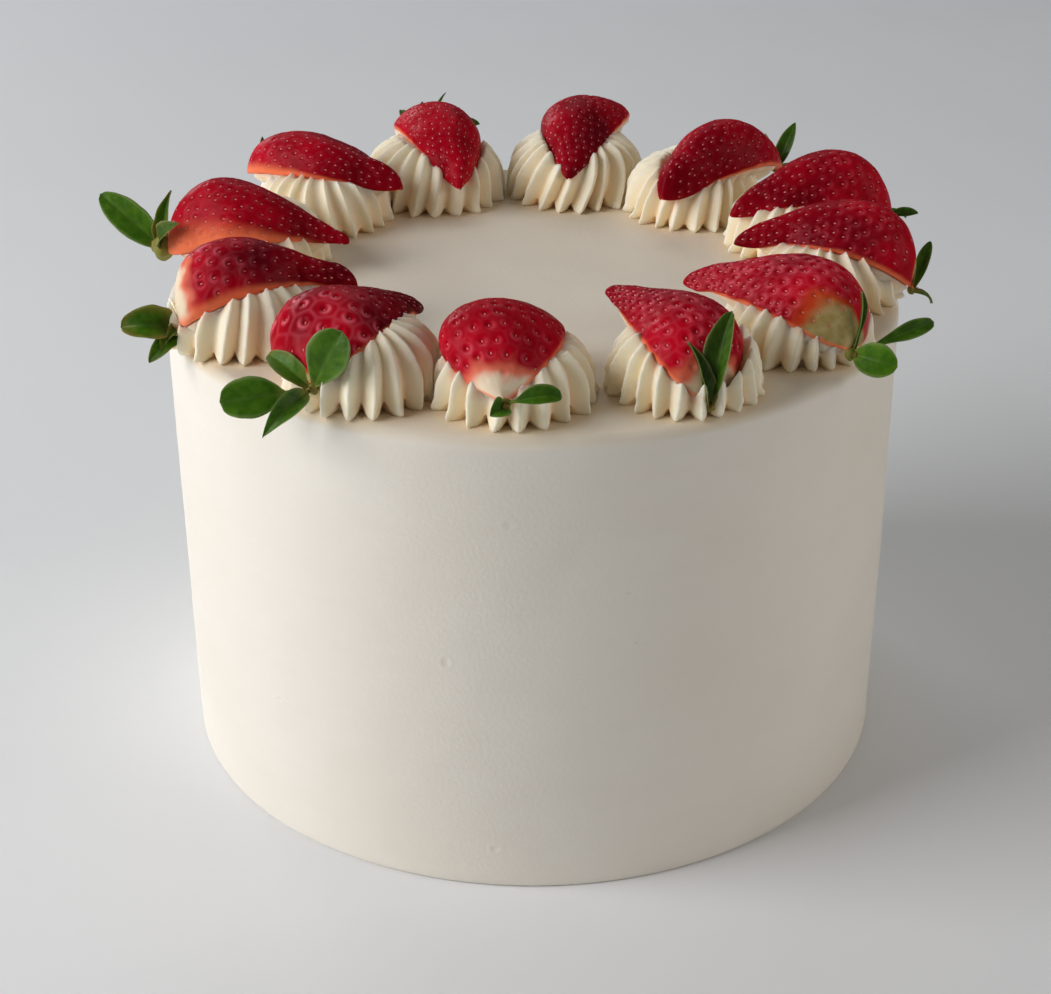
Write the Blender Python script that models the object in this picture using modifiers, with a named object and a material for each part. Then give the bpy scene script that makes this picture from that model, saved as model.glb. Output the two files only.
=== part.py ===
"""A round frosted layer cake with a ring of piped rosettes, each carrying a halved strawberry with its leafy cap.

Units are metres and +Z is up. The origin is the centre of the cake's flat base. -Y is the front of the cake.
Sizes below are in millimetres and degrees and are scaled by MM when the meshes are made. Azimuths are measured
from the front (-Y) towards +X, so 90 is the right-hand side and 180 is the back.
"""

import math

import bmesh
import bpy
import numpy as np
from mathutils import Vector

MM = 0.001

# ---------------------------------------------------------------- driving dimensions
CAKE_RADIUS = 102.5
CAKE_HEIGHT = 133.0
TOP_EDGE_RADIUS = 3.2
BASE_EDGE = 0.6
CAKE_SIDES = 72

GAP = 0.3                # clearance between pieces that rest on one another
SEAT_HEIGHT = 25.0       # reach of the cutter that clears the cream above a berry's cut face
LIP_HEIGHT = 2.2         # how far the cream wells up round a berry's rim
RIDGES = 18              # teeth of the star tip that piped the rosettes
DOME_POWER = 3.2         # how boxy the dollop is in section
LIP_SLOPE = 0.55         # how steeply the cream may rise beside a berry that is pressed into it

FROSTING = ("frosting", (0.86, 0.80, 0.70), 0.55)
BERRY_RED = ("strawberry", (0.62, 0.02, 0.03), 0.30)
LEAF_GREEN = ("leaf", (0.10, 0.26, 0.03), 0.45)

# Rosettes: centre x, centre y, foot radius, free height, twist of the ridges from foot to top, first ridge
ROSETTES = {
    1: (-4.8, -77.0, 21.0, 18.0, 4, 4),
    2: (38.0, -72.2, 19.8, 18.5, 2, 0),
    3: (69.2, -44.0, 20.0, 18.5, 10, 7),
    4: (82.0, -8.5, 20.4, 18.5, -10, 3),
    5: (77.0, 30.0, 20.0, 18.0, 6, 12),
    6: (49.5, 60.5, 20.8, 18.5, 12, 5),
    7: (14.0, 79.0, 21.6, 20.0, 20, 9),
    8: (-30.6, 75.6, 21.6, 20.0, 8, 1),
    9: (-63.0, 53.6, 20.4, 18.5, -10, 14),
    10: (-79.0, 17.0, 20.2, 18.5, -10, 6),
    11: (-76.5, -36.0, 21.8, 20.0, 10, 2),
    12: (-42.2, -70.6, 20.6, 19.0, 4, 10),
}

# Halved strawberries, cut face down. Stem end and tip: distance from the cake's axis, azimuth, height over the
# cake's top. Then the arch and sideways sway of the cut face, its roll, the half width, the thickness, how blunt
# the stem end is (low is blunt), how blunt the tip is, the lean of the crest and the extra sway of the neck.
BERRIES = {
    1: ((98.4, -4, 8.0), (56.9, -6, 10.3), 4.2, -0.8, 12, 15.5, 12.0, 0.87, 0.81, -0.28, 0.9),
    2: ((98.2, 26, 3.4), (54.0, 21, 17.6), 3.3, 0.6, -15, 13.8, 12.0, 0.59, 1.10, 0.15, 2.5),
    3: ((102.4, 53, 5.7), (50.8, 53, 12.2), 2.3, 1.6, -14, 18.4, 13.2, 0.47, 0.90, 0.20, 2.6),
    4: ((105.4, 82, 4.3), (56.0, 83, 14.0), 3.8, 1.1, -15, 17.6, 15.0, 0.32, 0.87, 0.09, 1.6),
    5: ((108.0, 106, 8.4), (61.3, 111, 11.6), 4.7, -0.4, -9, 16.7, 14.4, 0.38, 0.87, 0.0, 0.3),
    6: ((102.7, 133, 9.4), (54.2, 135, 11.2), 3.9, -0.2, -12, 14.4, 14.0, 0.54, 0.72, 0.0, 1.5),
    7: ((105.4, 169, 13.2), (59.2, 169, 10.8), 5.0, -0.8, -15, 14.4, 10.2, 0.29, 0.84, 0.17, 0.7),
    8: ((105.4, 200, 9.6), (56.0, 203, 10.0), 4.8, -0.4, 23, 13.7, 12.9, 0.43, 0.83, -0.04, -0.3),
    9: ((110.0, 230, 9.2), (59.0, 221, 12.8), 2.4, 3.4, 13, 15.7, 12.1, 0.37, 0.70, 0.07, 0.6),
    10: ((105.3, 261, 5.4), (52.6, 260, 8.9), 4.3, 1.6, 0, 15.3, 14.9, 0.41, 1.10, -0.02, 0.4),
    11: ((102.2, 295, 5.3), (57.1, 306, 13.0), 4.0, -1.0, 16, 15.3, 15.4, 0.29, 0.91, 0.03, -0.5),
    12: ((101.8, 328, 7.3), (57.8, 330, 13.0), 3.0, -2.4, 18, 18.0, 12.2, 0.55, 0.92, -0.20, -2.4),
}
THICKNESS_POWER = 1.1    # the crest falls a little faster than the width towards both ends
NECK_ARCH = 0.9

# Leaves of each cap: reach outwards, sideways and up from the stem, arch, width, roll of the blade
LEAVES = {
    1: ((3.8, -3.2, 1.6, 0.6, 5.6, -60), (1.6, 13.2, 2.3, 2.2, 4.6, 50)),
    2: ((-4.6, -3.2, 17.3, 1.2, 5.6, -30), (-2.1, 7.0, 23.4, 1.4, 7.2, 15)),
    3: ((13.6, 18.0, 5.3, 0.8, 6.0, 55), (11.8, 0.9, 0.6, 1.6, 8.6, 60), (0.6, 11.8, 11.6, 1.2, 3.4, 60)),
    4: ((4.4, 6.7, 11.6, 0.8, 4.0, 20), (6.4, -2.8, -1.6, 0.5, 1.8, 0)),
    5: ((9.2, -1.0, 0.2, 0.6, 3.2, 45), (7.0, 4.0, -3.0, 0.8, 4.6, 0)),
    6: ((9.7, 0.8, 13.4, 0.8, 6.0, 25), (6.0, -7.0, -3.0, 1.2, 6.0, -10), (4.5, 9.6, 9.6, 1.0, 4.4, -30)),
    7: ((8.3, 6.4, 5.8, 1.0, 4.6, -25), (9.0, -7.0, -2.0, 1.4, 6.4, 10), (10.5, 3.0, -5.0, 1.4, 5.4, 0)),
    8: ((6.6, -11.4, 14.4, 1.0, 1.8, 30), (0.6, -21.0, 4.4, 3.4, 6.4, 45), (8.9, 4.1, 7.4, 1.0, 4.8, -30),
        (9.8, -4.0, 11.2, 1.0, 4.8, 10)),
    9: ((4.6, -8.2, 8.6, 0.6, 3.0, 15), (3.0, -6.5, 1.0, 0.8, 4.2, 0)),
    10: ((21.5, -4.8, 15.0, 0.8, 8.6, -52), (2.6, -7.0, 14.8, 1.6, 4.2, 0), (3.6, 5.8, -3.4, 0.8, 5.0, 0)),
    11: ((15.6, 2.4, 0.6, 3.2, 10.2, -58), (10.9, 8.0, -6.0, 1.2, 5.2, -35), (6.4, 7.4, -4.4, 0.8, 6.6, -25)),
    12: ((-3.4, 3.6, 17.4, 0.8, 12.0, 78), (0.4, -14.3, 6.0, 1.4, 5.4, -35), (18.2, -12.5, 0.6, 0.8, 10.4, -62),
         (17.0, -1.4, -6.0, 2.6, 5.6, -35)),
}
LEAF_THICKNESS = 1.0
HULL_RADIUS = {1: 2.6, 2: 2.8, 3: 3.2, 4: 2.6, 5: 2.6, 6: 2.8, 7: 2.8, 8: 2.8, 9: 2.6, 10: 4.0, 11: 3.6, 12: 3.0}

# ---------------------------------------------------------------- scene and materials
for old in list(bpy.data.objects):
    bpy.data.objects.remove(old, do_unlink=True)


def new_collection(name, hidden=False):
    collection = bpy.data.collections.new(name)
    bpy.context.scene.collection.children.link(collection)
    collection.hide_render = hidden
    return collection


CAKE = new_collection("strawberry_cake")
CUTTERS = new_collection("cutters", hidden=True)


def principled(name, colour, roughness):
    material = bpy.data.materials.new(name)
    material.use_nodes = True
    shader = material.node_tree.nodes["Principled BSDF"]
    shader.inputs["Base Color"].default_value = (*colour, 1.0)
    shader.inputs["Roughness"].default_value = roughness
    shader.inputs["Metallic"].default_value = 0.0
    material.diffuse_color = (*colour, 1.0)
    return material


def place(mesh, name, look, collection):
    obj = bpy.data.objects.new(name, mesh)
    collection.objects.link(obj)
    if collection is CUTTERS:
        obj.hide_render = True
        obj.display_type = "WIRE"
    else:
        mesh.materials.clear()
        mesh.materials.append(principled(name + "_" + look[0], look[1], look[2]))
    return obj


# ---------------------------------------------------------------- helpers
def cylindrical(radius, azimuth, height):
    a = math.radians(azimuth)
    return np.array([radius * math.sin(a), -radius * math.cos(a), height])


def unit(v):
    return v / np.linalg.norm(v)


def loft(name, rings, start=None, end=None):
    """A closed skin through rings of equal point counts; an end is a single point, or a flat cap if None."""
    bm = bmesh.new()
    rows = [[bm.verts.new(Vector(p) * MM) for p in ring] for ring in rings]
    count = len(rows[0])
    for low, high in zip(rows[:-1], rows[1:]):
        for i in range(count):
            j = (i + 1) % count
            bm.faces.new((low[i], low[j], high[j], high[i]))
    for row, point in ((rows[0], start), (rows[-1], end)):
        if point is None:
            bm.faces.new(row)
        else:
            apex = bm.verts.new(Vector(point) * MM)
            for i in range(count):
                bm.faces.new((row[i], row[(i + 1) % count], apex))
    bmesh.ops.triangulate(bm, faces=bm.faces[:])
    bmesh.ops.recalc_face_normals(bm, faces=bm.faces[:])
    mesh = bpy.data.meshes.new(name)
    bm.to_mesh(mesh)
    bm.free()
    return mesh


def bake(obj):
    """Replace an object's mesh by its evaluated one and drop its modifiers."""
    bpy.context.view_layer.update()
    depsgraph = bpy.context.evaluated_depsgraph_get()
    mesh = bpy.data.meshes.new_from_object(obj.evaluated_get(depsgraph))
    obj.modifiers.clear()
    obj.data = mesh


def combine(obj, other, operation):
    cut = obj.modifiers.new(operation.lower(), "BOOLEAN")
    cut.object = other
    cut.operation = operation
    cut.solver = "EXACT"
    bake(obj)


def tidy(obj):
    """Weld slivers and keep the largest body that a cut has left."""
    bm = bmesh.new()
    bm.from_mesh(obj.data)
    bmesh.ops.remove_doubles(bm, verts=bm.verts[:], dist=0.02 * MM)
    bmesh.ops.dissolve_degenerate(bm, edges=bm.edges[:], dist=0.01 * MM)
    bmesh.ops.holes_fill(bm, edges=[edge for edge in bm.edges if edge.is_boundary], sides=6)
    bmesh.ops.triangulate(bm, faces=bm.faces[:])
    left = set(bm.verts)
    islands = []
    while left:
        seed = left.pop()
        island, front = {seed}, [seed]
        while front:
            for edge in front.pop().link_edges:
                for vert in edge.verts:
                    if vert in left:
                        left.discard(vert)
                        island.add(vert)
                        front.append(vert)
        islands.append(island)
    islands.sort(key=len)
    for island in islands[:-1]:
        bmesh.ops.delete(bm, geom=list(island), context="VERTS")
    bmesh.ops.recalc_face_normals(bm, faces=bm.faces[:])
    bm.to_mesh(obj.data)
    bm.free()


# ---------------------------------------------------------------- the frosted cake
def cake_body():
    """A turned profile from the middle of the top, over the soft top edge and down to the base."""
    profile = [(0.0, CAKE_HEIGHT)]
    for step in range(4):
        a = math.radians(90 - 30 * step)
        profile.append((CAKE_RADIUS - TOP_EDGE_RADIUS + TOP_EDGE_RADIUS * math.cos(a),
                        CAKE_HEIGHT - TOP_EDGE_RADIUS + TOP_EDGE_RADIUS * math.sin(a)))
    profile += [(CAKE_RADIUS, BASE_EDGE), (CAKE_RADIUS - BASE_EDGE, 0.0), (0.0, 0.0)]
    mesh = bpy.data.meshes.new("cake_body")
    mesh.from_pydata([(x * MM, 0.0, z * MM) for x, z in profile],
                     [(i, i + 1) for i in range(len(profile) - 1)], [])
    body = place(mesh, "cake_body", FROSTING, CAKE)
    turn = body.modifiers.new("turn", "SCREW")
    turn.axis = "Z"
    turn.angle = 2 * math.pi
    turn.steps = CAKE_SIDES
    turn.render_steps = CAKE_SIDES
    turn.use_merge_vertices = True
    turn.merge_threshold = 0.00001
    turn.use_smooth_shade = True
    return body


# ---------------------------------------------------------------- halved strawberries
def berry_frame(row, t):
    """Middle of the cut face, its sideways direction and its upward normal at t (0 stem, 1 tip)."""
    stem = cylindrical(*row[0]) + (0, 0, CAKE_HEIGHT)
    tip = cylindrical(*row[1]) + (0, 0, CAKE_HEIGHT)
    arch, sway, roll, neck_sway = row[2], row[3], math.radians(row[4]), row[10]
    axis = unit(tip - stem)
    side = unit(np.cross(axis, (0, 0, 1)))
    up = np.cross(side, axis)
    middle = 4 * t * (1 - t)
    neck = 6.75 * t * (1 - t) ** 2
    spine = (stem + (tip - stem) * t + up * (arch * middle + NECK_ARCH * neck)
             + side * (sway * middle + neck_sway * neck))
    return (spine, side * math.cos(roll) + up * math.sin(roll),
            up * math.cos(roll) - side * math.sin(roll))


def berry_width(row, t):
    """Share of the full width at t: blunt at the stem, tapering to the tip."""
    blunt, point = row[7], row[8]
    peak = blunt / (blunt + point)
    return (t / peak) ** blunt * ((1 - t) / (1 - peak)) ** point


BERRY_STEPS = (0.035, 0.12, 0.24, 0.42, 0.62, 0.80, 0.94)


def berry_mesh(name, row, grow=0.0):
    """The half berry; grow swells it on all sides to make a cutter for what it presses into."""
    half, thick, lean = row[5], row[6], row[9]
    rings = []
    for t in BERRY_STEPS:
        spine, side, up = berry_frame(row, t)
        share = berry_width(row, t)
        spine = spine - up * grow
        width, height = half * share + grow, thick * share ** THICKNESS_POWER + 2 * grow
        ring = []
        for step in range(7):
            a = math.pi * step / 6
            ring.append(spine + side * (width * (math.cos(a) + lean * math.sin(a))) + up * (height * math.sin(a)))
        rings.append(ring)
    ends = []
    for t, sign in ((0.0, -1), (1.0, 1)):
        spine, side, up = berry_frame(row, t)
        axis = unit(cylindrical(*row[1]) - cylindrical(*row[0]))
        ends.append(spine + axis * (sign * grow * 1.5) + up * (0.6 if t == 0 else 0.4))
    return loft(name, rings, ends[0], ends[1])


def seat_mesh(name, row):
    """Everything above a berry's cut face, to clear the cream that it is pressed into."""
    rings = []
    for t in (-0.03, *BERRY_STEPS, 1.03):
        inner = min(1.0, max(0.0, t))
        spine, side, up = berry_frame(row, inner)
        axis = unit(cylindrical(*row[1]) - cylindrical(*row[0]))
        share = berry_width(row, inner) if 0 < inner < 1 else 0.0
        half = row[5] * share * math.hypot(1.0, row[9]) + GAP + 0.1
        middle = spine + axis * ((t - inner) * 45.0) - up * (GAP + 0.05)
        left, right = middle - side * half, middle + side * half
        rings.append([left, right, right + up * SEAT_HEIGHT, left + up * SEAT_HEIGHT])
    return loft(name, rings)


# ---------------------------------------------------------------- leafy caps
def leaf_mesh(name, base, row, out, side, grow=0.0):
    """One blade: a thin pointed loft along an arched midrib."""
    reach = out * row[0] + side * row[1] + np.array((0, 0, row[2]))
    arch, width, roll = row[3], row[4], math.radians(row[5])
    length = np.linalg.norm(reach)
    axis = reach / length
    normal = unit(np.array((0, 0, 1.0)) - axis * axis[2])
    across = np.cross(axis, normal)
    normal, across = (normal * math.cos(roll) + across * math.sin(roll),
                      across * math.cos(roll) - normal * math.sin(roll))
    rings = []
    for t in (0.0, 0.32, 0.72):
        middle = base + reach * t + normal * (arch * 4 * t * (1 - t))
        half = max(0.6, width / 2 * math.sin(math.pi * min(1.0, 0.12 + 0.88 * t) ** 0.85)) + grow
        thick = LEAF_THICKNESS / 2 + grow
        rings.append([middle - across * half, middle - normal * thick, middle + across * half,
                      middle + normal * thick])
    return loft(name, rings, None, base + reach * (1 + grow / length))


def hull_mesh(name, centre, radius):
    mesh = bpy.data.meshes.new(name)
    bm = bmesh.new()
    bmesh.ops.create_icosphere(bm, subdivisions=1, radius=radius * MM)
    bmesh.ops.translate(bm, verts=bm.verts[:], vec=Vector(centre) * MM)
    bm.to_mesh(mesh)
    bm.free()
    return mesh


def cap(number, grow, collection, name):
    """The hull where the stem was, joined to its leaves."""
    row = BERRIES[number]
    stem = cylindrical(*row[0]) + (0, 0, CAKE_HEIGHT)
    tip = cylindrical(*row[1]) + (0, 0, CAKE_HEIGHT)
    out = unit((stem - tip) * (1, 1, 0))
    side = np.array((-out[1], out[0], 0.0))
    centre = stem + out * 1.4 + (0, 0, 0.6)
    obj = place(hull_mesh(name, centre, HULL_RADIUS[number] + grow), name, LEAF_GREEN, collection)
    for index, leaf in enumerate(LEAVES[number]):
        blade = place(leaf_mesh(f"{name}_blade_{index}", centre, leaf, out, side, grow),
                      f"{name}_blade_{index}", LEAF_GREEN, CUTTERS)
        combine(obj, blade, "UNION")
        bpy.data.objects.remove(blade, do_unlink=True)
    return obj


# ---------------------------------------------------------------- piped rosettes
def pressed(number, point):
    """Height that the cream may reach at this point: it wells up in a low lip beside the berry."""
    row = BERRIES[number]
    stem, tip = cylindrical(*row[0]), cylindrical(*row[1])
    run = (tip - stem) * (1, 1, 0)
    length = np.linalg.norm(run)
    along = (point - stem) * (1, 1, 0) @ run / length ** 2
    t = min(0.99, max(0.01, along))
    spine, side, up = berry_frame(row, t)
    flat = unit(side * (1, 1, 0))
    aside = (point - spine) @ flat
    half = row[5] * berry_width(row, t)
    level = spine[2] + aside * side[2] / np.linalg.norm(side[:2])
    beyond = max(0.0, abs(aside) - half, (along - 1) * length, -along * length)
    return level + LIP_HEIGHT + LIP_SLOPE * beyond


def rosette_mesh(number):
    """A ridged dollop: star sections that swell over the foot and close in a low dome."""
    x, y, foot, height, twist, first = ROSETTES[number]
    centre = np.array((x, y, 0.0))
    base = CAKE_HEIGHT + GAP
    neighbours = []
    for other, data in ROSETTES.items():
        away = np.array((data[0] - x, data[1] - y, 0.0))
        distance = np.linalg.norm(away)
        if other != number and distance < foot + data[2] + 2:
            share = (distance + foot - data[2]) / 2
            neighbours.append((away / distance, share - GAP / 2 - 0.05))
    rings = []
    for rise in (0.0, 0.24, 0.60, 0.86):
        reach = (1 - rise ** DOME_POWER) ** (1 / DOME_POWER)
        reach *= 0.95 + 0.05 * min(1.0, rise / 0.24)
        depth = 0.15 - 0.05 * rise
        ring = []
        for step in range(2 * RIDGES):
            a = math.radians(first + twist * rise + 180.0 * step / RIDGES)
            r = foot * reach * (1.0 if step % 2 == 0 else 1.0 - depth)
            point = centre + (r * math.cos(a), r * math.sin(a), base + height * rise)
            for away, limit in neighbours:
                over = (point - centre) @ away - limit
                if over > 0:
                    point = point - away * over
            point[2] = min(point[2], pressed(number, point))
            ring.append(point)
        rings.append(ring)
    crown = centre + (0, 0, base + height)
    crown[2] = min(crown[2], pressed(number, crown))
    return loft(f"rosette_{number:02d}", rings, centre + (0, 0, base), crown)


# ---------------------------------------------------------------- assembly
cake_body()

for number in sorted(BERRIES):
    row = BERRIES[number]
    berry = place(berry_mesh(f"strawberry_{number:02d}", row), f"strawberry_{number:02d}", BERRY_RED, CAKE)
    swollen_berry = place(berry_mesh("berry_cutter", row, GAP), "berry_cutter", BERRY_RED, CUTTERS)
    calyx = cap(number, 0.0, CAKE, f"calyx_{number:02d}")
    combine(calyx, swollen_berry, "DIFFERENCE")
    tidy(calyx)
    swollen_cap = cap(number, GAP, CUTTERS, "cap_cutter")
    rosette = place(rosette_mesh(number), f"rosette_{number:02d}", FROSTING, CAKE)
    seat = place(seat_mesh("seat_cutter", row), "seat_cutter", BERRY_RED, CUTTERS)
    combine(rosette, seat, "DIFFERENCE")
    combine(rosette, swollen_cap, "DIFFERENCE")
    tidy(rosette)
    for cutter in (swollen_berry, swollen_cap, seat):
        bpy.data.objects.remove(cutter, do_unlink=True)
    for obj in (berry, calyx, rosette):
        obj.data.shade_smooth()
        obj.data.set_sharp_from_angle(angle=math.radians(40))
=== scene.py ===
import math

import bmesh
import bpy
import numpy as np
from mathutils import Matrix, Vector
from mathutils.kdtree import KDTree


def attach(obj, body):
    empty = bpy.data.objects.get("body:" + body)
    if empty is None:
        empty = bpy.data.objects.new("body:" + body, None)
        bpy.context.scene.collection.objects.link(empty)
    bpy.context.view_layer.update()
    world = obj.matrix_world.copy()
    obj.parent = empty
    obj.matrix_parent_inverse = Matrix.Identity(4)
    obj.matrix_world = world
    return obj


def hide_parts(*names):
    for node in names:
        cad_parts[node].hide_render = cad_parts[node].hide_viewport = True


# The looks of a frosted layer cake with a ring of piped rosettes and halved strawberries.
# Shapes are worked out in millimetres in the CAD frame and written to the meshes in metres.
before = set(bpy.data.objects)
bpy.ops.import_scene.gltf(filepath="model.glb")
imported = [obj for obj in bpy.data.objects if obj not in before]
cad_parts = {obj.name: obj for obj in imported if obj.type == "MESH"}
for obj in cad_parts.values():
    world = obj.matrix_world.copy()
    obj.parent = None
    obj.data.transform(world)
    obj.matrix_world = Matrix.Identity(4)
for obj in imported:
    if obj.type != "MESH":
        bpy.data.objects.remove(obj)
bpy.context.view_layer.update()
MM = 0.001

# ------------------------------------------------------------------ sizes shared with the CAD model
CAKE_RADIUS = 102.5
CAKE_HEIGHT = 133.0
TOP_EDGE_RADIUS = 3.2

# centre x, centre y, foot radius, free height, twist of the ridges from foot to top, first ridge, ridges
ROSETTES = {
    1: (-4.8, -77.0, 21.0, 18.0, 4, 4, 20),
    2: (38.0, -72.2, 19.8, 18.5, 2, 0, 22),
    3: (69.2, -44.0, 20.0, 18.5, 10, 7, 20),
    4: (82.0, -8.5, 20.4, 18.5, -10, 3, 20),
    5: (77.0, 30.0, 20.0, 18.0, 6, 12, 21),
    6: (49.5, 60.5, 20.8, 18.5, 12, 5, 22),
    7: (14.0, 79.0, 22.1, 20.0, 20, 9, 22),
    8: (-30.6, 75.6, 22.1, 20.0, 8, 1, 20),
    9: (-63.0, 53.6, 20.4, 18.5, -10, 14, 20),
    10: (-79.0, 17.0, 20.2, 18.5, -10, 6, 20),
    11: (-76.5, -36.0, 21.8, 20.0, 10, 2, 21),
    12: (-42.2, -70.6, 20.6, 19.0, 4, 10, 20),
}
DOME = 2.75           # how boxy a rosette is: 2 would be a round dome
SUNK = 1.6            # how far the rim of a berry sinks below the crests of the cream
EYE = np.array((0.0, -542.0, 346.7))

# stem end and tip (distance from the axis, azimuth, height over the top), arch, sway, roll, half width, thickness,
# bluntness of the stem end, bluntness of the tip, lean of the crest, sway of the neck
BERRIES = {
    1: ((98.4, -4, 8.0), (56.9, -6, 10.3), 4.2, -0.8, 12, 15.5, 12.0, 0.87, 0.81, -0.28, 0.9),
    2: ((98.2, 26, 3.4), (54.0, 21, 17.6), 3.3, 0.6, -15, 13.8, 12.0, 0.59, 1.10, 0.15, 2.5),
    3: ((102.4, 53, 5.7), (50.8, 53, 12.2), 2.3, 1.6, -14, 18.4, 13.2, 0.47, 0.90, 0.20, 2.6),
    4: ((105.4, 82, 4.3), (56.0, 83, 14.0), 3.8, 1.1, -15, 17.6, 15.0, 0.32, 0.87, 0.09, 1.6),
    5: ((108.0, 106, 8.4), (61.3, 111, 11.6), 4.7, -0.4, -9, 16.7, 14.4, 0.38, 0.87, 0.0, 0.3),
    6: ((102.7, 133, 9.4), (54.2, 135, 11.2), 3.9, -0.2, -12, 14.4, 14.0, 0.54, 0.72, 0.0, 1.5),
    7: ((105.4, 169, 13.2), (59.2, 169, 10.8), 5.0, -0.8, -15, 14.4, 10.2, 0.29, 0.84, 0.17, 0.7),
    8: ((105.4, 200, 9.6), (56.0, 203, 10.0), 4.8, -0.4, 23, 13.7, 12.9, 0.43, 0.83, -0.04, -0.3),
    9: ((110.0, 230, 9.2), (59.0, 221, 12.8), 2.4, 3.4, 13, 15.7, 12.1, 0.37, 0.70, 0.07, 0.6),
    10: ((105.3, 261, 5.4), (52.6, 260, 8.9), 4.3, 1.6, 0, 15.3, 14.9, 0.41, 1.10, -0.02, 0.4),
    11: ((102.2, 295, 5.3), (57.1, 306, 13.0), 4.0, -1.0, 16, 15.3, 15.4, 0.29, 0.91, 0.03, -0.5),
    12: ((101.8, 327, 7.3), (57.8, 330, 13.0), 3.0, -2.4, 18, 18.0, 12.2, 0.55, 0.92, -0.20, -2.4),
}
THICKNESS_POWER = 1.1
NECK_ARCH = 0.9

# How ripe each berry looks, for its two sides (the one to the left of a view from the tip, then the other): share of
# the length that is pale, height of the salmon band over the cut edge (cut flesh, partly painted bounce light); then
# how far the skin darkens to maroon, the size of the dimples by the stem, the strength of the pale net and painted
# highlight rings between them and the radius of the blunt tip
RIPENESS = {
    1: (0.12, 0.14, 0.8, 0.9, 0.38, 1.05, 0.50, 4.0), 2: (0.08, 0.11, 0.7, 0.9, 0.66, 1.05, 0.75, 2.4),
    3: (0.02, 0.19, 0.6, 0.6, 0.42, 1.00, 1.00, 3.8), 4: (0.02, 0.02, 1.0, 1.0, 0.78, 0.95, 0.30, 3.0),
    5: (0.02, 0.02, 0.9, 0.9, 0.74, 0.95, 0.20, 2.6), 6: (0.02, 0.03, 0.7, 0.9, 0.66, 0.95, 0.20, 3.0),
    7: (0.02, 0.02, 0.5, 0.5, 0.78, 0.90, 0.20, 2.0), 8: (0.02, 0.02, 0.6, 0.6, 0.38, 0.95, 0.30, 1.6),
    9: (0.02, 0.02, 2.6, 0.9, 0.62, 0.95, 0.40, 3.0), 10: (0.04, 0.02, 6.8, 1.0, 0.68, 0.85, 0.15, 1.8),
    11: (0.10, 0.05, 2.6, 1.0, 0.85, 1.20, 1.00, 3.8), 12: (0.02, 0.02, 0.7, 1.2, 1.00, 1.40, 1.80, 4.2),
}
# shift of a cap from the middle of its stem end, and size of its knob
CAPS = {
    1: ((0.3, 0.0, -0.4), 1.5), 2: ((-0.8, 0.0, -1.3), 1.5), 3: ((-1.6, 0.0, -1.6), 1.8), 4: ((-1.0, 0.0, -1.8), 1.3),
    5: ((-0.4, 0.0, 0.0), 1.4), 6: ((-0.2, 0.0, 0.0), 1.6), 7: ((0.0, 0.0, 0.0), 1.6), 8: ((0.0, 0.0, 0.0), 1.6),
    9: ((1.0, 0.0, -0.6), 1.5), 10: ((-1.2, -0.8, -0.6), 3.9), 11: ((1.6, 0.0, -1.2), 2.9), 12: ((2.5, 0.0, -1.3), 1.5),
}

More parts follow.
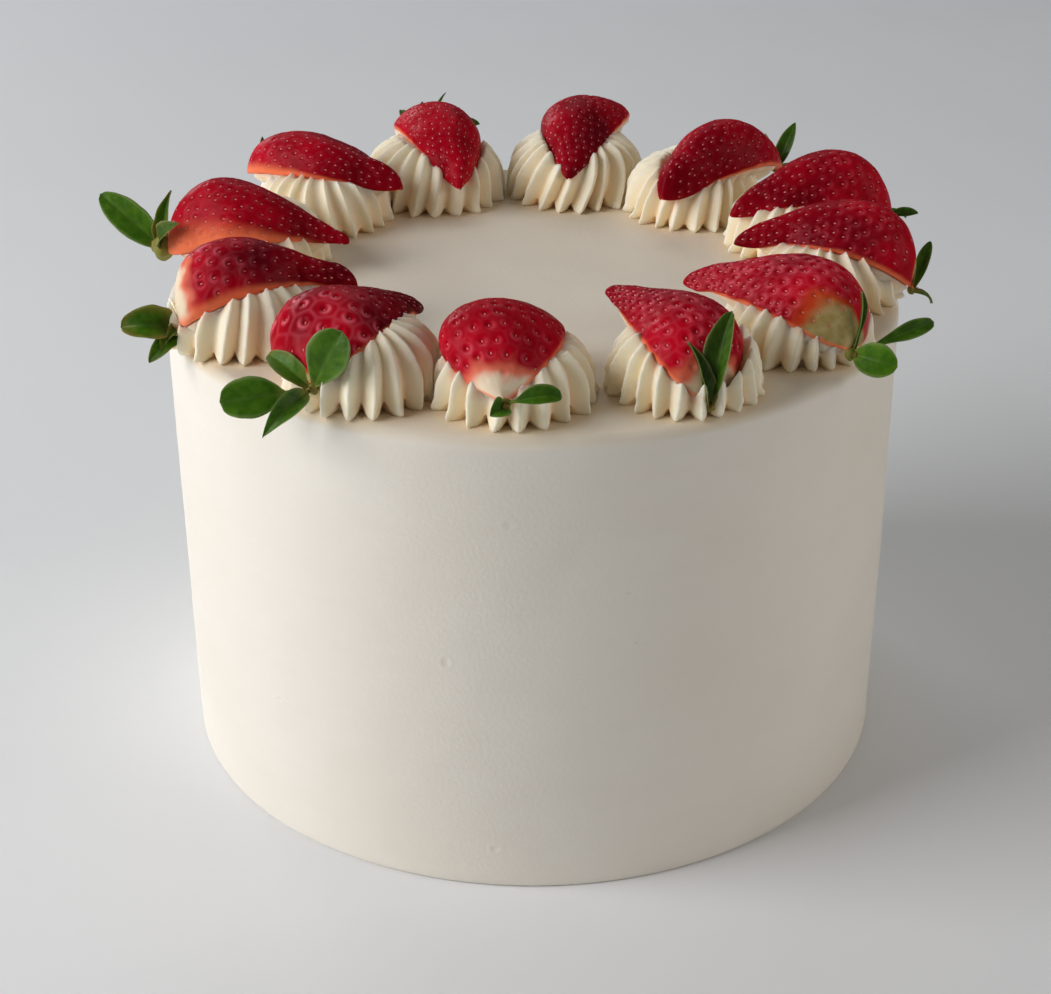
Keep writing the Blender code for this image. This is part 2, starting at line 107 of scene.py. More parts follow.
# Leaves: reach outwards, sideways and up from the stem, arch, width, roll of the blade, place of the widest point,
# roundness of base and tip (0.4 round, 1 pointed), fold along the midrib, bare stalk share, bend of the end in
# degrees, tone (0 deep, 1 fresh), dryness of the edges
LEAVES = {
    1: ((3.2, -3.4, -1.4, 0.6, 6.4, -50, .40, .5, .9, 40, .0, 30, .35, .0),
        (1.4, 13.4, 3.3, 1.6, 6.4, 48, .66, .9, .45, 42, .10, 25, .40, .0)),
    2: ((-4.0, -3.4, 16.6, 1.2, 5.0, -30, .35, .6, .9, 45, .0, 10, .15, .3),
        (-2.0, 6.6, 23.0, 1.2, 8.4, 15, .52, .7, .5, 38, .0, 12, .05, .1)),
    3: ((13.6, 17.6, 6.6, 0.8, 5.2, 55, .72, .9, .45, 18, .10, 8, .22, .0),
        (12.4, 0.6, -0.4, 1.4, 9.6, 60, .58, .5, .5, 14, .0, 12, .75, .0),
        (-1.6, 7.0, 14.4, 1.2, 2.2, 60, .68, 1.2, .6, 30, .0, 5, .10, .1)),
    4: ((3.8, 6.0, 12.4, 0.8, 4.2, 20, .55, .7, .6, 18, .0, 6, .28, .0),
        (6.4, -2.8, -1.0, 0.5, 1.2, 0, .4, .9, .9, 20, .0, 60, .35, .6)),
    5: ((8.6, -1.0, 0.4, 0.6, 3.4, 45, .5, .6, .7, 25, .0, 10, .18, .1),
        (7.0, 4.0, -2.0, 0.8, 5.0, 0, .45, .6, .7, 15, .0, 10, .4, .0)),
    6: ((8.4, 0.6, 12.6, 0.8, 5.2, 25, .45, .6, .75, 15, .0, 6, .20, .0),
        (6.0, -7.0, -2.0, 1.2, 6.0, -10, .45, .6, .8, 15, .0, 15, .4, .0),
        (3.6, 9.0, 8.6, 1.0, 2.6, -30, .4, .7, .8, 30, .0, 20, .2, .3)),
    7: ((8.3, 6.4, 5.8, 1.0, 3.6, -25, .4, .7, .8, 30, .0, 20, .3, .3),
        (9.0, -7.0, -2.0, 1.4, 6.4, 10, .5, .6, .7, 15, .0, 15, .4, .0),
        (10.5, 3.0, -4.0, 1.4, 5.4, 0, .5, .6, .7, 15, .0, 15, .4, .0)),
    8: ((6.6, -11.0, 13.2, 1.0, 2.0, 30, .4, .8, .8, 20, .0, 8, .25, .3),
        (0.6, -21.0, 4.0, 3.0, 6.4, 45, .5, .6, .7, 25, .0, 20, .10, .0),
        (8.9, 4.1, 8.6, 1.0, 5.0, -30, .45, .7, .8, 30, .0, 30, .10, .2),
        (9.8, -4.0, 10.4, 1.0, 3.6, 10, .45, .7, .8, 30, .0, 25, .2, .2)),
    9: ((4.6, -8.2, 8.6, 0.6, 2.2, 15, .5, .8, .6, 25, .0, 10, .08, .6),
        (3.0, -6.5, 1.0, 0.8, 4.2, 0, .5, .6, .8, 20, .0, 15, .3, .0)),
    10: ((18.6, -3.8, 14.0, 0.6, 10.2, -52, .52, .5, .55, 10, .0, 6, .50, .0),
         (-1.4, -6.6, 15.0, 1.0, 6.2, 0, .35, .7, .95, 45, .0, 10, .30, .9),
         (-8.0, 11.0, 11.5, 2.2, 6.4, 75, .5, .6, .7, 20, .0, 12, .05, .3)),
    11: ((15.4, 2.0, 3.0, 2.6, 11.8, -58, .55, .5, .6, 55, .0, 30, .42, .9),
         (9.2, 7.4, -5.4, 1.2, 5.6, -35, .5, .6, .7, 20, .0, 15, .30, .3),
         (5.4, 6.6, -2.8, 0.8, 7.0, -25, .45, .5, .6, 20, .0, 15, .85, .4),
         (10.4, -3.0, 5.2, 1.4, 5.4, 25, .5, .6, .8, 45, .0, 25, .35, 1.0),
         (4.2, 9.0, 1.0, 1.0, 4.4, -20, .4, .6, .9, 40, .0, 30, .45, .9)),
    12: ((-3.4, 7.4, 15.8, 0.8, 11.8, 78, .62, .75, .42, 8, .0, 6, .38, .0),
         (0.4, -14.0, 6.2, 1.4, 7.2, -35, .5, .6, .5, 28, .0, 12, .55, .5),
         (18.4, -13.3, -0.2, 0.6, 11.0, -62, .68, .6, .42, 10, .30, 8, .50, .0),
         (16.6, -1.6, -6.4, 2.4, 7.0, -35, .45, .6, .9, 30, .12, 28, .26, .0)),
}


# ------------------------------------------------------------------ helpers
def cylindrical(radius, azimuth, height):
    a = math.radians(azimuth)
    return np.array([radius * math.sin(a), -radius * math.cos(a), height])


def unit(v):
    return v / np.linalg.norm(v)


def unit_rows(v):
    return v / np.maximum(np.linalg.norm(v, axis=-1, keepdims=True), 1e-9)


def smoothstep(low, high, x):
    t = np.clip((x - low) / (high - low), 0, 1)
    return t * t * (3 - 2 * t)


def soft_min(a, b, k):
    """The smaller of a and b with the corner between them rounded over k."""
    h = np.clip(0.5 + 0.5 * (b - a) / k, 0, 1)
    return b * (1 - h) + a * h - k * h * (1 - h)


def soft_max(a, b, k):
    return -soft_min(-a, -b, k)


def hashed(ix, iy, iz, seed):
    h = (ix.astype(np.uint32) * np.uint32(374761393) + iy.astype(np.uint32) * np.uint32(668265263)
         + iz.astype(np.uint32) * np.uint32(2147483647) + np.uint32(seed) * np.uint32(1274126177))
    h = (h ^ (h >> np.uint32(13))) * np.uint32(1274126177)
    return h ^ (h >> np.uint32(16))


def noise(points, size, seed=0):
    """Smooth gradient noise, about -1..1, whose features are about size across."""
    with np.errstate(over="ignore"):
        p = np.asarray(points, float) / size + 512.0
        cell = np.floor(p).astype(np.int64)
        f = p - cell
        w = f * f * f * (f * (f * 6 - 15) + 10)
        total = 0.0
        for dx in (0, 1):
            for dy in (0, 1):
                for dz in (0, 1):
                    h = hashed(cell[..., 0] + dx, cell[..., 1] + dy, cell[..., 2] + dz, seed)
                    gx = ((h & np.uint32(1023)).astype(float) / 511.5) - 1
                    gy = (((h >> np.uint32(10)) & np.uint32(1023)).astype(float) / 511.5) - 1
                    gz = (((h >> np.uint32(20)) & np.uint32(1023)).astype(float) / 511.5) - 1
                    d = gx * (f[..., 0] - dx) + gy * (f[..., 1] - dy) + gz * (f[..., 2] - dz)
                    weight = ((w[..., 0] if dx else 1 - w[..., 0]) * (w[..., 1] if dy else 1 - w[..., 1])
                              * (w[..., 2] if dz else 1 - w[..., 2]))
                    total = total + weight * d
        return total * 1.4


def new_mesh(name, verts, faces, marks=None, smooth=True):
    """A mesh object from points in millimetres and faces of three or four corners; marks are values per point."""
    mesh = bpy.data.meshes.new(name)
    mesh.from_pydata((np.asarray(verts) * MM).tolist(), [], [list(map(int, f)) for f in faces])
    mesh.validate()
    for key, values in (marks or {}).items():
        layer = mesh.attributes.new(key, "FLOAT", "POINT")
        layer.data.foreach_set("value", np.asarray(values, np.float32))
    if smooth:
        mesh.shade_smooth()
    obj = bpy.data.objects.new(name, mesh)
    bpy.context.scene.collection.objects.link(obj)
    return obj


def tube_faces(rows, columns, offset=0):
    """Quads of a grid whose columns close on themselves."""
    r, c = np.meshgrid(np.arange(rows - 1), np.arange(columns), indexing="ij")
    n = (c + 1) % columns
    return (np.stack([r * columns + c, r * columns + n, (r + 1) * columns + n, (r + 1) * columns + c], -1)
            .reshape(-1, 4) + offset)


def fan(ring, centre, flip=False):
    faces = [(ring[i], ring[(i + 1) % len(ring)], centre) for i in range(len(ring))]
    return [(b, a, c) for a, b, c in faces] if flip else faces


def face_out(obj):
    bm = bmesh.new()
    bm.from_mesh(obj.data)
    bmesh.ops.recalc_face_normals(bm, faces=bm.faces[:])
    bm.to_mesh(obj.data)
    bm.free()


def finish_piece(obj, material, slot, *nodes):
    obj.data.materials.clear()
    obj.data.materials.append(material)
    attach(obj, "root")
    if nodes:
        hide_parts(*nodes)
    return obj


# ------------------------------------------------------------------ materials
class Nodes:
    """A small helper to wire a material's nodes."""

    def __init__(self, name):
        self.material = bpy.data.materials.new(name)
        self.material.use_nodes = True
        self.tree = self.material.node_tree
        self.shader = self.tree.nodes["Principled BSDF"]

    def add(self, kind, **settings):
        node = self.tree.nodes.new(kind)
        for key, value in settings.items():
            setattr(node, key, value)
        return node

    def link(self, a, b):
        self.tree.links.new(a, b)

    def put(self, socket, value):
        if isinstance(value, bpy.types.NodeSocket):
            self.link(value, socket)
        else:
            socket.default_value = value

    def mark(self, name):
        return self.add("ShaderNodeAttribute", attribute_name=name).outputs["Fac"]

    def noise(self, scale, detail=3.0, rough=0.5, vector=None):
        node = self.add("ShaderNodeTexNoise")
        node.inputs["Scale"].default_value = scale
        node.inputs["Detail"].default_value = detail
        node.inputs["Roughness"].default_value = rough
        if vector is None:
            vector = self.add("ShaderNodeTexCoord").outputs["Object"]
        self.link(vector, node.inputs["Vector"])
        return node.outputs["Fac"]

    def math(self, operation, a, b=0.0, clamp=False):
        node = self.add("ShaderNodeMath", operation=operation, use_clamp=clamp)
        self.put(node.inputs[0], a)
        self.put(node.inputs[1], b)
        return node.outputs[0]

    def span(self, value, low, high, out_low=0.0, out_high=1.0):
        node = self.add("ShaderNodeMapRange", interpolation_type="SMOOTHSTEP")
        self.put(node.inputs["Value"], value)
        node.inputs["From Min"].default_value = low
        node.inputs["From Max"].default_value = high
        node.inputs["To Min"].default_value = out_low
        node.inputs["To Max"].default_value = out_high
        return node.outputs["Result"]

    def mix(self, factor, a, b):
        node = self.add("ShaderNodeMix", data_type="RGBA")
        self.put(node.inputs[0], factor)
        for socket, value in ((node.inputs[6], a), (node.inputs[7], b)):
            self.put(socket, value if isinstance(value, bpy.types.NodeSocket) else (*value, 1.0))
        return node.outputs[2]

    def bump(self, height, distance, strength=1.0, normal=None):
        node = self.add("ShaderNodeBump")
        node.inputs["Strength"].default_value = strength
        node.inputs["Distance"].default_value = distance
        self.link(height, node.inputs["Height"])
        if normal is not None:
            self.link(normal, node.inputs["Normal"])
        return node.outputs["Normal"]


def subsurface(shader, weight, radius, scale):
    shader.inputs["Subsurface Weight"].default_value = weight
    shader.inputs["Subsurface Radius"].default_value = radius
    shader.inputs["Subsurface Scale"].default_value = scale


def frosting_material(name, piped):
    n = Nodes(name)
    patches = n.noise(22.0, 3.0)
    if piped:
        colour = n.mix(n.span(patches, 0.35, 0.65), (0.975, 0.868, 0.660), (0.980, 0.892, 0.715))
        # painted shade: the valleys between the ridges turn a darker warm tan, most near the foot
        colour = n.mix(n.math("MULTIPLY", n.mark("painted_groove_shade"), 0.62), colour, (0.99, 0.67, 0.36))
        # painted shade: deep amber in the gaps between the ridges' feet
        colour = n.mix(n.math("MULTIPLY", n.mark("painted_foot_shade"), 0.75), colour, (0.92, 0.58, 0.24))
        # a reddish tint on the cream along the berry's rim
        colour = n.mix(n.math("MULTIPLY", n.mark("rim_redness"), 0.60), colour, (0.84, 0.34, 0.22))
    else:
        colour = n.mix(n.span(patches, 0.35, 0.65), (0.875, 0.825, 0.730), (0.895, 0.850, 0.765))
        streaks = n.add("ShaderNodeMapping")
        n.link(n.add("ShaderNodeTexCoord").outputs["Object"], streaks.inputs["Vector"])
        streaks.inputs["Scale"].default_value = (1.0, 1.0, 9.0)
        swipe = n.noise(26.0, 4.0, 0.55, streaks.outputs["Vector"])
        colour = n.mix(n.span(swipe, 0.40, 0.75, 0.0, 0.14), colour, (0.84, 0.79, 0.70))
        # painted shade: the top a little darker and warmer all over, and more so round the rosettes' feet
        colour = n.mix(n.math("MULTIPLY", n.mark("painted_warm_shade"), 0.68), colour, (0.77, 0.62, 0.39))
    n.put(n.shader.inputs["Base Color"], colour)
    n.put(n.shader.inputs["Roughness"], n.span(n.noise(140.0, 3.0), 0.3, 0.7, 0.48, 0.62))
    grain = n.noise(900.0, 4.0, 0.6)
    normal = n.bump(grain, 0.0004, 0.22)
    if not piped:
        normal = n.bump(swipe, 0.0004, 0.10, normal)
    n.link(normal, n.shader.inputs["Normal"])
    if piped:
        subsurface(n.shader, 0.50, (1.0, 0.75, 0.50), 0.0045)
    n.shader.inputs["Specular IOR Level"].default_value = 0.25
    return n.material


def berry_material():
    n = Nodes("strawberry_skin")
    ripe, dark, painted_dimple_shade, cut_edge_and_bounce_band, net_and_highlight = (n.mark(k) for k in ("ripe", "dark", "painted_dimple_shade", "cut_edge_and_bounce_band", "net_and_highlight"))
    mellow = n.mark("mellow")
    blotch = n.noise(95.0, 3.0)
    fine = n.noise(420.0, 2.0)
    red = n.mix(n.span(blotch, 0.35, 0.68), (0.46, 0.0015, 0.012), (0.60, 0.0030, 0.018))
    red = n.mix(n.span(fine, 0.50, 0.78, 0.0, 0.12), red, (0.66, 0.015, 0.038))
    maroon = n.mix(n.span(blotch, 0.3, 0.7), (0.050, 0.0008, 0.004), (0.120, 0.0015, 0.007))
    colour = n.mix(dark, red, maroon)
    # painted shade darkens the floor of each dimple
    colour = n.mix(n.math("MULTIPLY", painted_dimple_shade, 0.30), colour, (0.26, 0.003, 0.010))
    # the pale net between the dimples, and painted highlight arcs and rings round the seeds, in pink
    colour = n.mix(n.math("MULTIPLY", net_and_highlight, 0.55, True), colour, (0.86, 0.15, 0.20))
    orange = n.mix(mellow, (0.58, 0.062, 0.016), (0.84, 0.20, 0.12))
    pale = n.mix(n.span(fine, 0.3, 0.7), (0.37, 0.28, 0.09), (0.47, 0.38, 0.17))
    pale = n.mix(mellow, pale, (0.92, 0.76, 0.56))
    colour = n.mix(n.span(ripe, 0.35, 0.85), orange, colour)
    colour = n.mix(n.span(ripe, 0.02, 0.42), pale, colour)
    # salmon band over the cut edge: the cut flesh, partly painted bounce light from the cream below
    colour = n.mix(n.math("MULTIPLY", cut_edge_and_bounce_band, 0.90), colour, (0.95, 0.23, 0.10))
    n.put(n.shader.inputs["Base Color"], colour)
    n.put(n.shader.inputs["Roughness"], n.span(n.noise(260.0, 2.0), 0.3, 0.7, 0.30, 0.44))
    normal = n.bump(n.noise(1500.0, 2.0), 0.0002, 0.22)
    n.link(normal, n.shader.inputs["Normal"])
    n.link(n.bump(n.noise(420.0, 2.0), 0.0008, 0.25, normal), n.shader.inputs["Coat Normal"])
    subsurface(n.shader, 0.10, (1.0, 0.06, 0.06), 0.0025)
    n.shader.inputs["Specular IOR Level"].default_value = 0.02
    n.shader.inputs["Specular Tint"].default_value = (1.0, 0.55, 0.62, 1.0)
    n.shader.inputs["Coat Weight"].default_value = 0.035
    n.shader.inputs["Coat Roughness"].default_value = 0.14
    return n.material


def seed_material():
    n = Nodes("strawberry_seeds")
    tone = n.noise(160.0, 1.0)
    colour = n.mix(n.span(tone, 0.38, 0.62), (0.76, 0.27, 0.21), (0.70, 0.17, 0.16))
    n.put(n.shader.inputs["Base Color"], colour)
    n.put(n.shader.inputs["Roughness"], n.span(n.noise(900.0, 1.0), 0.3, 0.7, 0.30, 0.44))
    n.shader.inputs["Coat Weight"].default_value = 0.1
    n.shader.inputs["Coat Roughness"].default_value = 0.2
    return n.material


def leaf_material():
    n = Nodes("strawberry_leaf")
    tone, rib, along, rim, brown = (n.mark(k) for k in ("tone", "rib", "along", "rim", "brown"))
    mottled = n.noise(300.0, 3.0)
    deep = n.mix(n.span(mottled, 0.35, 0.65), (0.022, 0.056, 0.003), (0.038, 0.094, 0.004))
    fresh = n.mix(n.span(mottled, 0.35, 0.65), (0.060, 0.190, 0.003), (0.110, 0.260, 0.008))
    colour = n.mix(tone, deep, fresh)
    colour = n.mix(n.math("MULTIPLY", rib, 0.25), colour, (0.16, 0.26, 0.06))
    # painted highlight: the blade's edges paler, where their thickness catches the light
    colour = n.mix(n.math("MULTIPLY", rim, 0.45), colour, (0.36, 0.38, 0.18))
    colour = n.mix(n.span(along, 0.0, 0.22, 0.70, 0.0), colour, (0.30, 0.28, 0.06))
    colour = n.mix(n.math("MULTIPLY", brown, 0.80), colour, (0.27, 0.165, 0.045))
    n.put(n.shader.inputs["Base Color"], colour)
    n.put(n.shader.inputs["Roughness"], n.span(n.noise(700.0, 2.0), 0.3, 0.7, 0.36, 0.52))
    n.link(n.bump(n.noise(1300.0, 3.0), 0.0003, 0.35), n.shader.inputs["Normal"])
    subsurface(n.shader, 0.12, (0.5, 1.0, 0.2), 0.0012)
    n.shader.inputs["Specular IOR Level"].default_value = 0.14
    n.shader.inputs["Coat Weight"].default_value = 0.03
    n.shader.inputs["Coat Roughness"].default_value = 0.22
    return n.material


# ------------------------------------------------------------------ the frosted cake
PITS = [  # azimuth, height, half width across, half width up, depth of the small dents in the side
    (-3.3, 110.3, 1.1, 0.9, 0.12), (13.5, 89.5, 0.75, 0.35, 0.20), (14.9, 74.8, 0.8, 0.35, 0.26), (-12.6, 69.7, 0.9, 1.1, 0.13),
    (-5.9, 12.4, 0.9, 0.8, 0.16), (31.4, 51.0, 0.6, 0.9, 0.10), (50.5, 85.7, 0.5, 1.0, 0.14), (66, 38, 0.8, 0.6, 0.16),
    (88, 96, 0.9, 0.5, 0.18), (118, 58, 0.7, 1.0, 0.14), (149, 110, 0.9, 0.5, 0.18), (171, 31, 0.8, 0.8, 0.16),
    (196, 84, 0.6, 1.1, 0.14), (214, 50, 1.0, 0.5, 0.20), (243, 101, 0.7, 0.8, 0.14), (266, 22, 0.9, 0.6, 0.16),
    (291, 74, 0.6, 0.9, 0.13), (318, 43, 0.9, 0.5, 0.16),
]


def cake_surface():
    columns = 360
    top = np.concatenate([np.linspace(3.0, 45.0, 12), np.linspace(46.5, CAKE_RADIUS - TOP_EDGE_RADIUS, 36)])
    profile = [(r, CAKE_HEIGHT) for r in top]
    for step in range(1, 9):
        a = math.radians(90 - 11.25 * step)
        profile.append((CAKE_RADIUS - TOP_EDGE_RADIUS + TOP_EDGE_RADIUS * math.cos(a),
                        CAKE_HEIGHT - TOP_EDGE_RADIUS + TOP_EDGE_RADIUS * math.sin(a)))
    profile += [(CAKE_RADIUS, z) for z in np.linspace(CAKE_HEIGHT - TOP_EDGE_RADIUS, 1.0, 86)[1:]]
    profile += [(CAKE_RADIUS - 0.25, 0.4), (CAKE_RADIUS - 0.9, 0.0), (CAKE_RADIUS * 0.7, 0.0)]
    profile = np.array(profile)
    rows = len(profile)
    az = np.arange(columns) * 2 * math.pi / columns
    r = np.repeat(profile[:, 0][:, None], columns, 1)
    z = np.repeat(profile[:, 1][:, None], columns, 1)
    a = np.repeat(az[None], rows, 0)
    points = np.stack([r * np.sin(a), -r * np.cos(a), z], -1)
    side = smoothstep(CAKE_RADIUS - 6, CAKE_RADIUS - 1, r) * smoothstep(0.0, 5.0, z)
    lid = smoothstep(CAKE_HEIGHT - 5, CAKE_HEIGHT - 0.5, z)
    round_trip = points * (1, 1, 0.6)
    swell = 0.30 * noise(round_trip, 46, 1) + 0.13 * noise(points * (1, 1, 1.6), 17, 2)
    swipe = 0.05 * noise(points * (0.5, 0.5, 6.0), 12, 3)
    grow = side * (swell + swipe)
    lift = lid * (0.22 * noise(points, 40, 4) + 0.10 * noise(points, 15, 5))
    edge = np.exp(-(((r - CAKE_RADIUS + 2.0) / 2.4) ** 2)) * lid
    lift = lift + edge * 0.35 * noise(points, 19, 6)
    points[..., 0] += np.sin(a) * grow
    points[..., 1] -= np.cos(a) * grow
    points[..., 2] += lift
    verts = points.reshape(-1, 3).tolist()
    faces = tube_faces(rows, columns).tolist()
    verts.append((0.0, 0.0, CAKE_HEIGHT + 0.05))
    faces += fan(list(range(columns)), len(verts) - 1, True)
    verts.append((0.0, 0.0, 0.0))
    faces += fan([(rows - 1) * columns + i for i in range(columns)], len(verts) - 1)
    places = np.array(verts)
    feet = [np.hypot(places[:, 0] - x, places[:, 1] - y) - foot for x, y, foot, *_ in ROSETTES.values()]
    # painted warm shade on the top, strongest by the rosettes' feet
    painted_warm_shade = (0.40 + 0.60 * np.exp(-np.clip(np.min(feet, 0), 0, None) / 3.5)) * smoothstep(CAKE_HEIGHT - 3, CAKE_HEIGHT - 1, places[:, 2])
    obj = new_mesh("frosted_cake", verts, faces, {"painted_warm_shade": painted_warm_shade})
    # Finer faces round each small dent, then the dent itself.
    bm = bmesh.new()
    bm.from_mesh(obj.data)
    spots = []
    for azimuth, height, across, up, depth in PITS:
        spots.append((Vector(cylindrical(CAKE_RADIUS, azimuth, height)), math.radians(azimuth), across, up, depth))
    near = set()
    for face in bm.faces:
        middle = face.calc_center_median() / MM
        for spot, *_ in spots:
            if abs(middle.z - spot.z) < 3.4 and (middle - spot).length < 3.4:
                near.add(face)
                break
    edges = list({edge for face in near for edge in face.edges})
    bmesh.ops.subdivide_edges(bm, edges=edges, cuts=4, use_grid_fill=True)
    for vert in bm.verts:
        p = vert.co / MM
        for spot, turn, across, up, depth in spots:
            if abs(p.z - spot.z) < 5 and (p - spot).length < 5:
                sideways = (p.x - spot.x) * math.cos(turn) + (p.y - spot.y) * math.sin(turn)
                share = (sideways / across) ** 2 + ((p.z - spot.z) / up) ** 2
                sink = depth * (math.exp(-share * 1.1) - 0.28 * math.exp(-((math.sqrt(share) - 1.8) / 0.55) ** 2))
                vert.co -= Vector((math.sin(turn), -math.cos(turn), 0)) * (sink * MM)
                break
    bm.to_mesh(obj.data)
    bm.free()
    obj.data.shade_smooth()
    face_out(obj)
    return obj


# ------------------------------------------------------------------ halved strawberries
def berry_axes(row):
    stem = cylindrical(*row[0]) + (0, 0, CAKE_HEIGHT)
    tip = cylindrical(*row[1]) + (0, 0, CAKE_HEIGHT)
    axis = unit(tip - stem)
    side = unit(np.cross(axis, (0, 0, 1)))
    return stem, tip, axis, side, np.cross(side, axis)


def berry_spine(row, t):
    """Middle of the cut face at each t, with its sideways direction and its upward normal."""
    stem, tip, axis, side, up = berry_axes(row)
    t = np.asarray(t, float)[..., None]
    middle = 4 * t * (1 - t)
    neck = 6.75 * t * (1 - t) ** 2
    spine = stem + (tip - stem) * t + up * (row[2] * middle + NECK_ARCH * neck) + side * (row[3] * middle + row[10] * neck)
    roll = math.radians(row[4])
    return spine, side * math.cos(roll) + up * math.sin(roll), up * math.cos(roll) - side * math.sin(roll)


def berry_share(row, t, blunt_tip=0.0):
    """Share of the full width at t, with a round nose of the given radius at the tip."""
    blunt, point = row[7], row[8]
    peak = blunt / (blunt + point)
    t = np.clip(t, 0.0, 1.0)
    share = (t / peak) ** blunt * ((1 - t) / (1 - peak)) ** point
    if not blunt_tip:
        return share
    back = (1 - t) * np.linalg.norm(cylindrical(*row[0]) - cylindrical(*row[1]))
    nose = blunt_tip / row[5] * np.sqrt(1 - np.clip(1 - back / (1.3 * blunt_tip), 0, 1) ** 2) * smoothstep(0.25, 0.8, t)
    return (share ** 4 + nose ** 4) ** 0.25


def dome_height(number, points):
    """Height that the crests of a rosette would have without its berry."""
    x, y, foot, height = ROSETTES[number][:4]
    share = np.clip(np.hypot(points[..., 0] - x, points[..., 1] - y) / foot, 0, 1)
    return CAKE_HEIGHT + height * (1 - share ** DOME) ** (1 / DOME)


def settle(number):
    """How each rim of a berry moves in until it rests on its rosette: towards the back on the side in view, and
    straight inwards on the other."""
    row = BERRIES[number]
    grid = np.linspace(0, 1, 81)
    spine, side, up = berry_spine(row, grid)
    share = berry_share(row, grid)
    sight = unit(spine.mean(0) - EYE)
    moves = []
    for sign in (1, -1):
        rim = spine + sign * side * (row[5] * share)[:, None]
        if sign * (side @ sight) < 0:
            way, limit = sight, 7.0
        else:
            way, limit = unit(-sign * side * (1, 1, 0)) + np.array((0, 0, -0.25)), 0.9
        move = np.full(len(grid), np.nan)
        for i, p in enumerate(rim):
            reach = np.arange(0.0, limit, 0.05)
            tried = p + way * reach[:, None]
            hit = np.nonzero(tried[:, 2] <= dome_height(number, tried) - SUNK)[0]
            if len(hit):
                move[i] = reach[hit[0]]
        known = np.nonzero(~np.isnan(move))[0]
        if not len(known):
            moves.append(np.zeros((len(grid), 3)))
            continue
        move = np.interp(np.arange(len(grid)), known, move[known])
        move = np.convolve(np.pad(move, 8, mode="edge"), np.hanning(19)[1:-1] / np.hanning(19).sum(), "valid")
        move = np.minimum(move, 0.62 * row[5] * share)
        moves.append(way * move[:, None])
    return grid, moves


SETTLED = {number: settle(number) for number in BERRIES}


def rim_shift(number, t):
    grid, (first, second) = SETTLED[number]
    pick = lambda table: np.stack([np.interp(t, grid, table[:, k]) for k in range(3)], -1)
    return pick(first), pick(second)


def berry_point(number, t, a, blunt_tip=0.0):
    """A point of the skin: a runs from 0 at one cut edge over the crest to pi at the other."""
    row = BERRIES[number]
    t, a = np.asarray(t, float), np.asarray(a, float)
    spine, side, up = berry_spine(row, t)
    share = berry_share(row, t, blunt_tip)[..., None]
    first, second = rim_shift(number, t)
    a = a[..., None]
    wide, thick = row[5] * share, row[6] * share ** THICKNESS_POWER
    if blunt_tip:
        thick = thick * (1 + 0.25 * smoothstep(0.80, 1.0, t)[..., None])
        wrap = 0.85 * smoothstep(0.74, 0.97, t)[..., None]
        spine = spine + up * (thick * 0.45 * np.sin(wrap))
        a = a + (a - math.pi / 2) * wrap * 2 / math.pi
    bare = spine + side * (wide * (np.cos(a) + row[9] * np.sin(a))) + up * (thick * np.sin(a))
    return bare + first * np.clip(np.cos(a), 0, 1) ** 1.3 + second * np.clip(-np.cos(a), 0, 1) ** 1.3


def seed_places(number, row, coarse, blunt_tip):
    """Seeds in staggered rows that crowd towards the tip."""
    random = np.random.default_rng(500 + number)
    length = np.linalg.norm(cylindrical(*row[0]) - cylindrical(*row[1]))
    places = []
    t, odd = 0.09, 0
    while t < 0.97:
        spacing = 4.0 * (1 + (coarse - 1) * (1 - smoothstep(0.30, 0.60, t))) - 1.5 * smoothstep(0.1, 0.9, t)
        arc = np.linspace(0.0, math.pi, 60)
        steps = np.linalg.norm(np.diff(berry_point(number, np.full(60, t), arc, blunt_tip), axis=0), axis=1)
        girth = steps.sum()
        run = np.concatenate([[0], np.cumsum(steps)])
        count = max(1, int(round(girth / spacing)))
        for i in range(count):
            along = girth * (i + (0.25 if odd else 0.75)) / count + random.normal(0, 0.15) * spacing
            a = float(np.interp(along, run, arc))
            if 0.10 < a < math.pi - 0.10:
                place = min(0.98, t + random.normal(0, 0.11) * spacing / length)
                places.append((place, a, random.uniform(0.85, 1.15) * (1 + 0.6 * (coarse - 1) * (1 - smoothstep(0.30, 0.60, t)))))
        t += spacing * 0.82 / length
        odd = 1 - odd
    return places


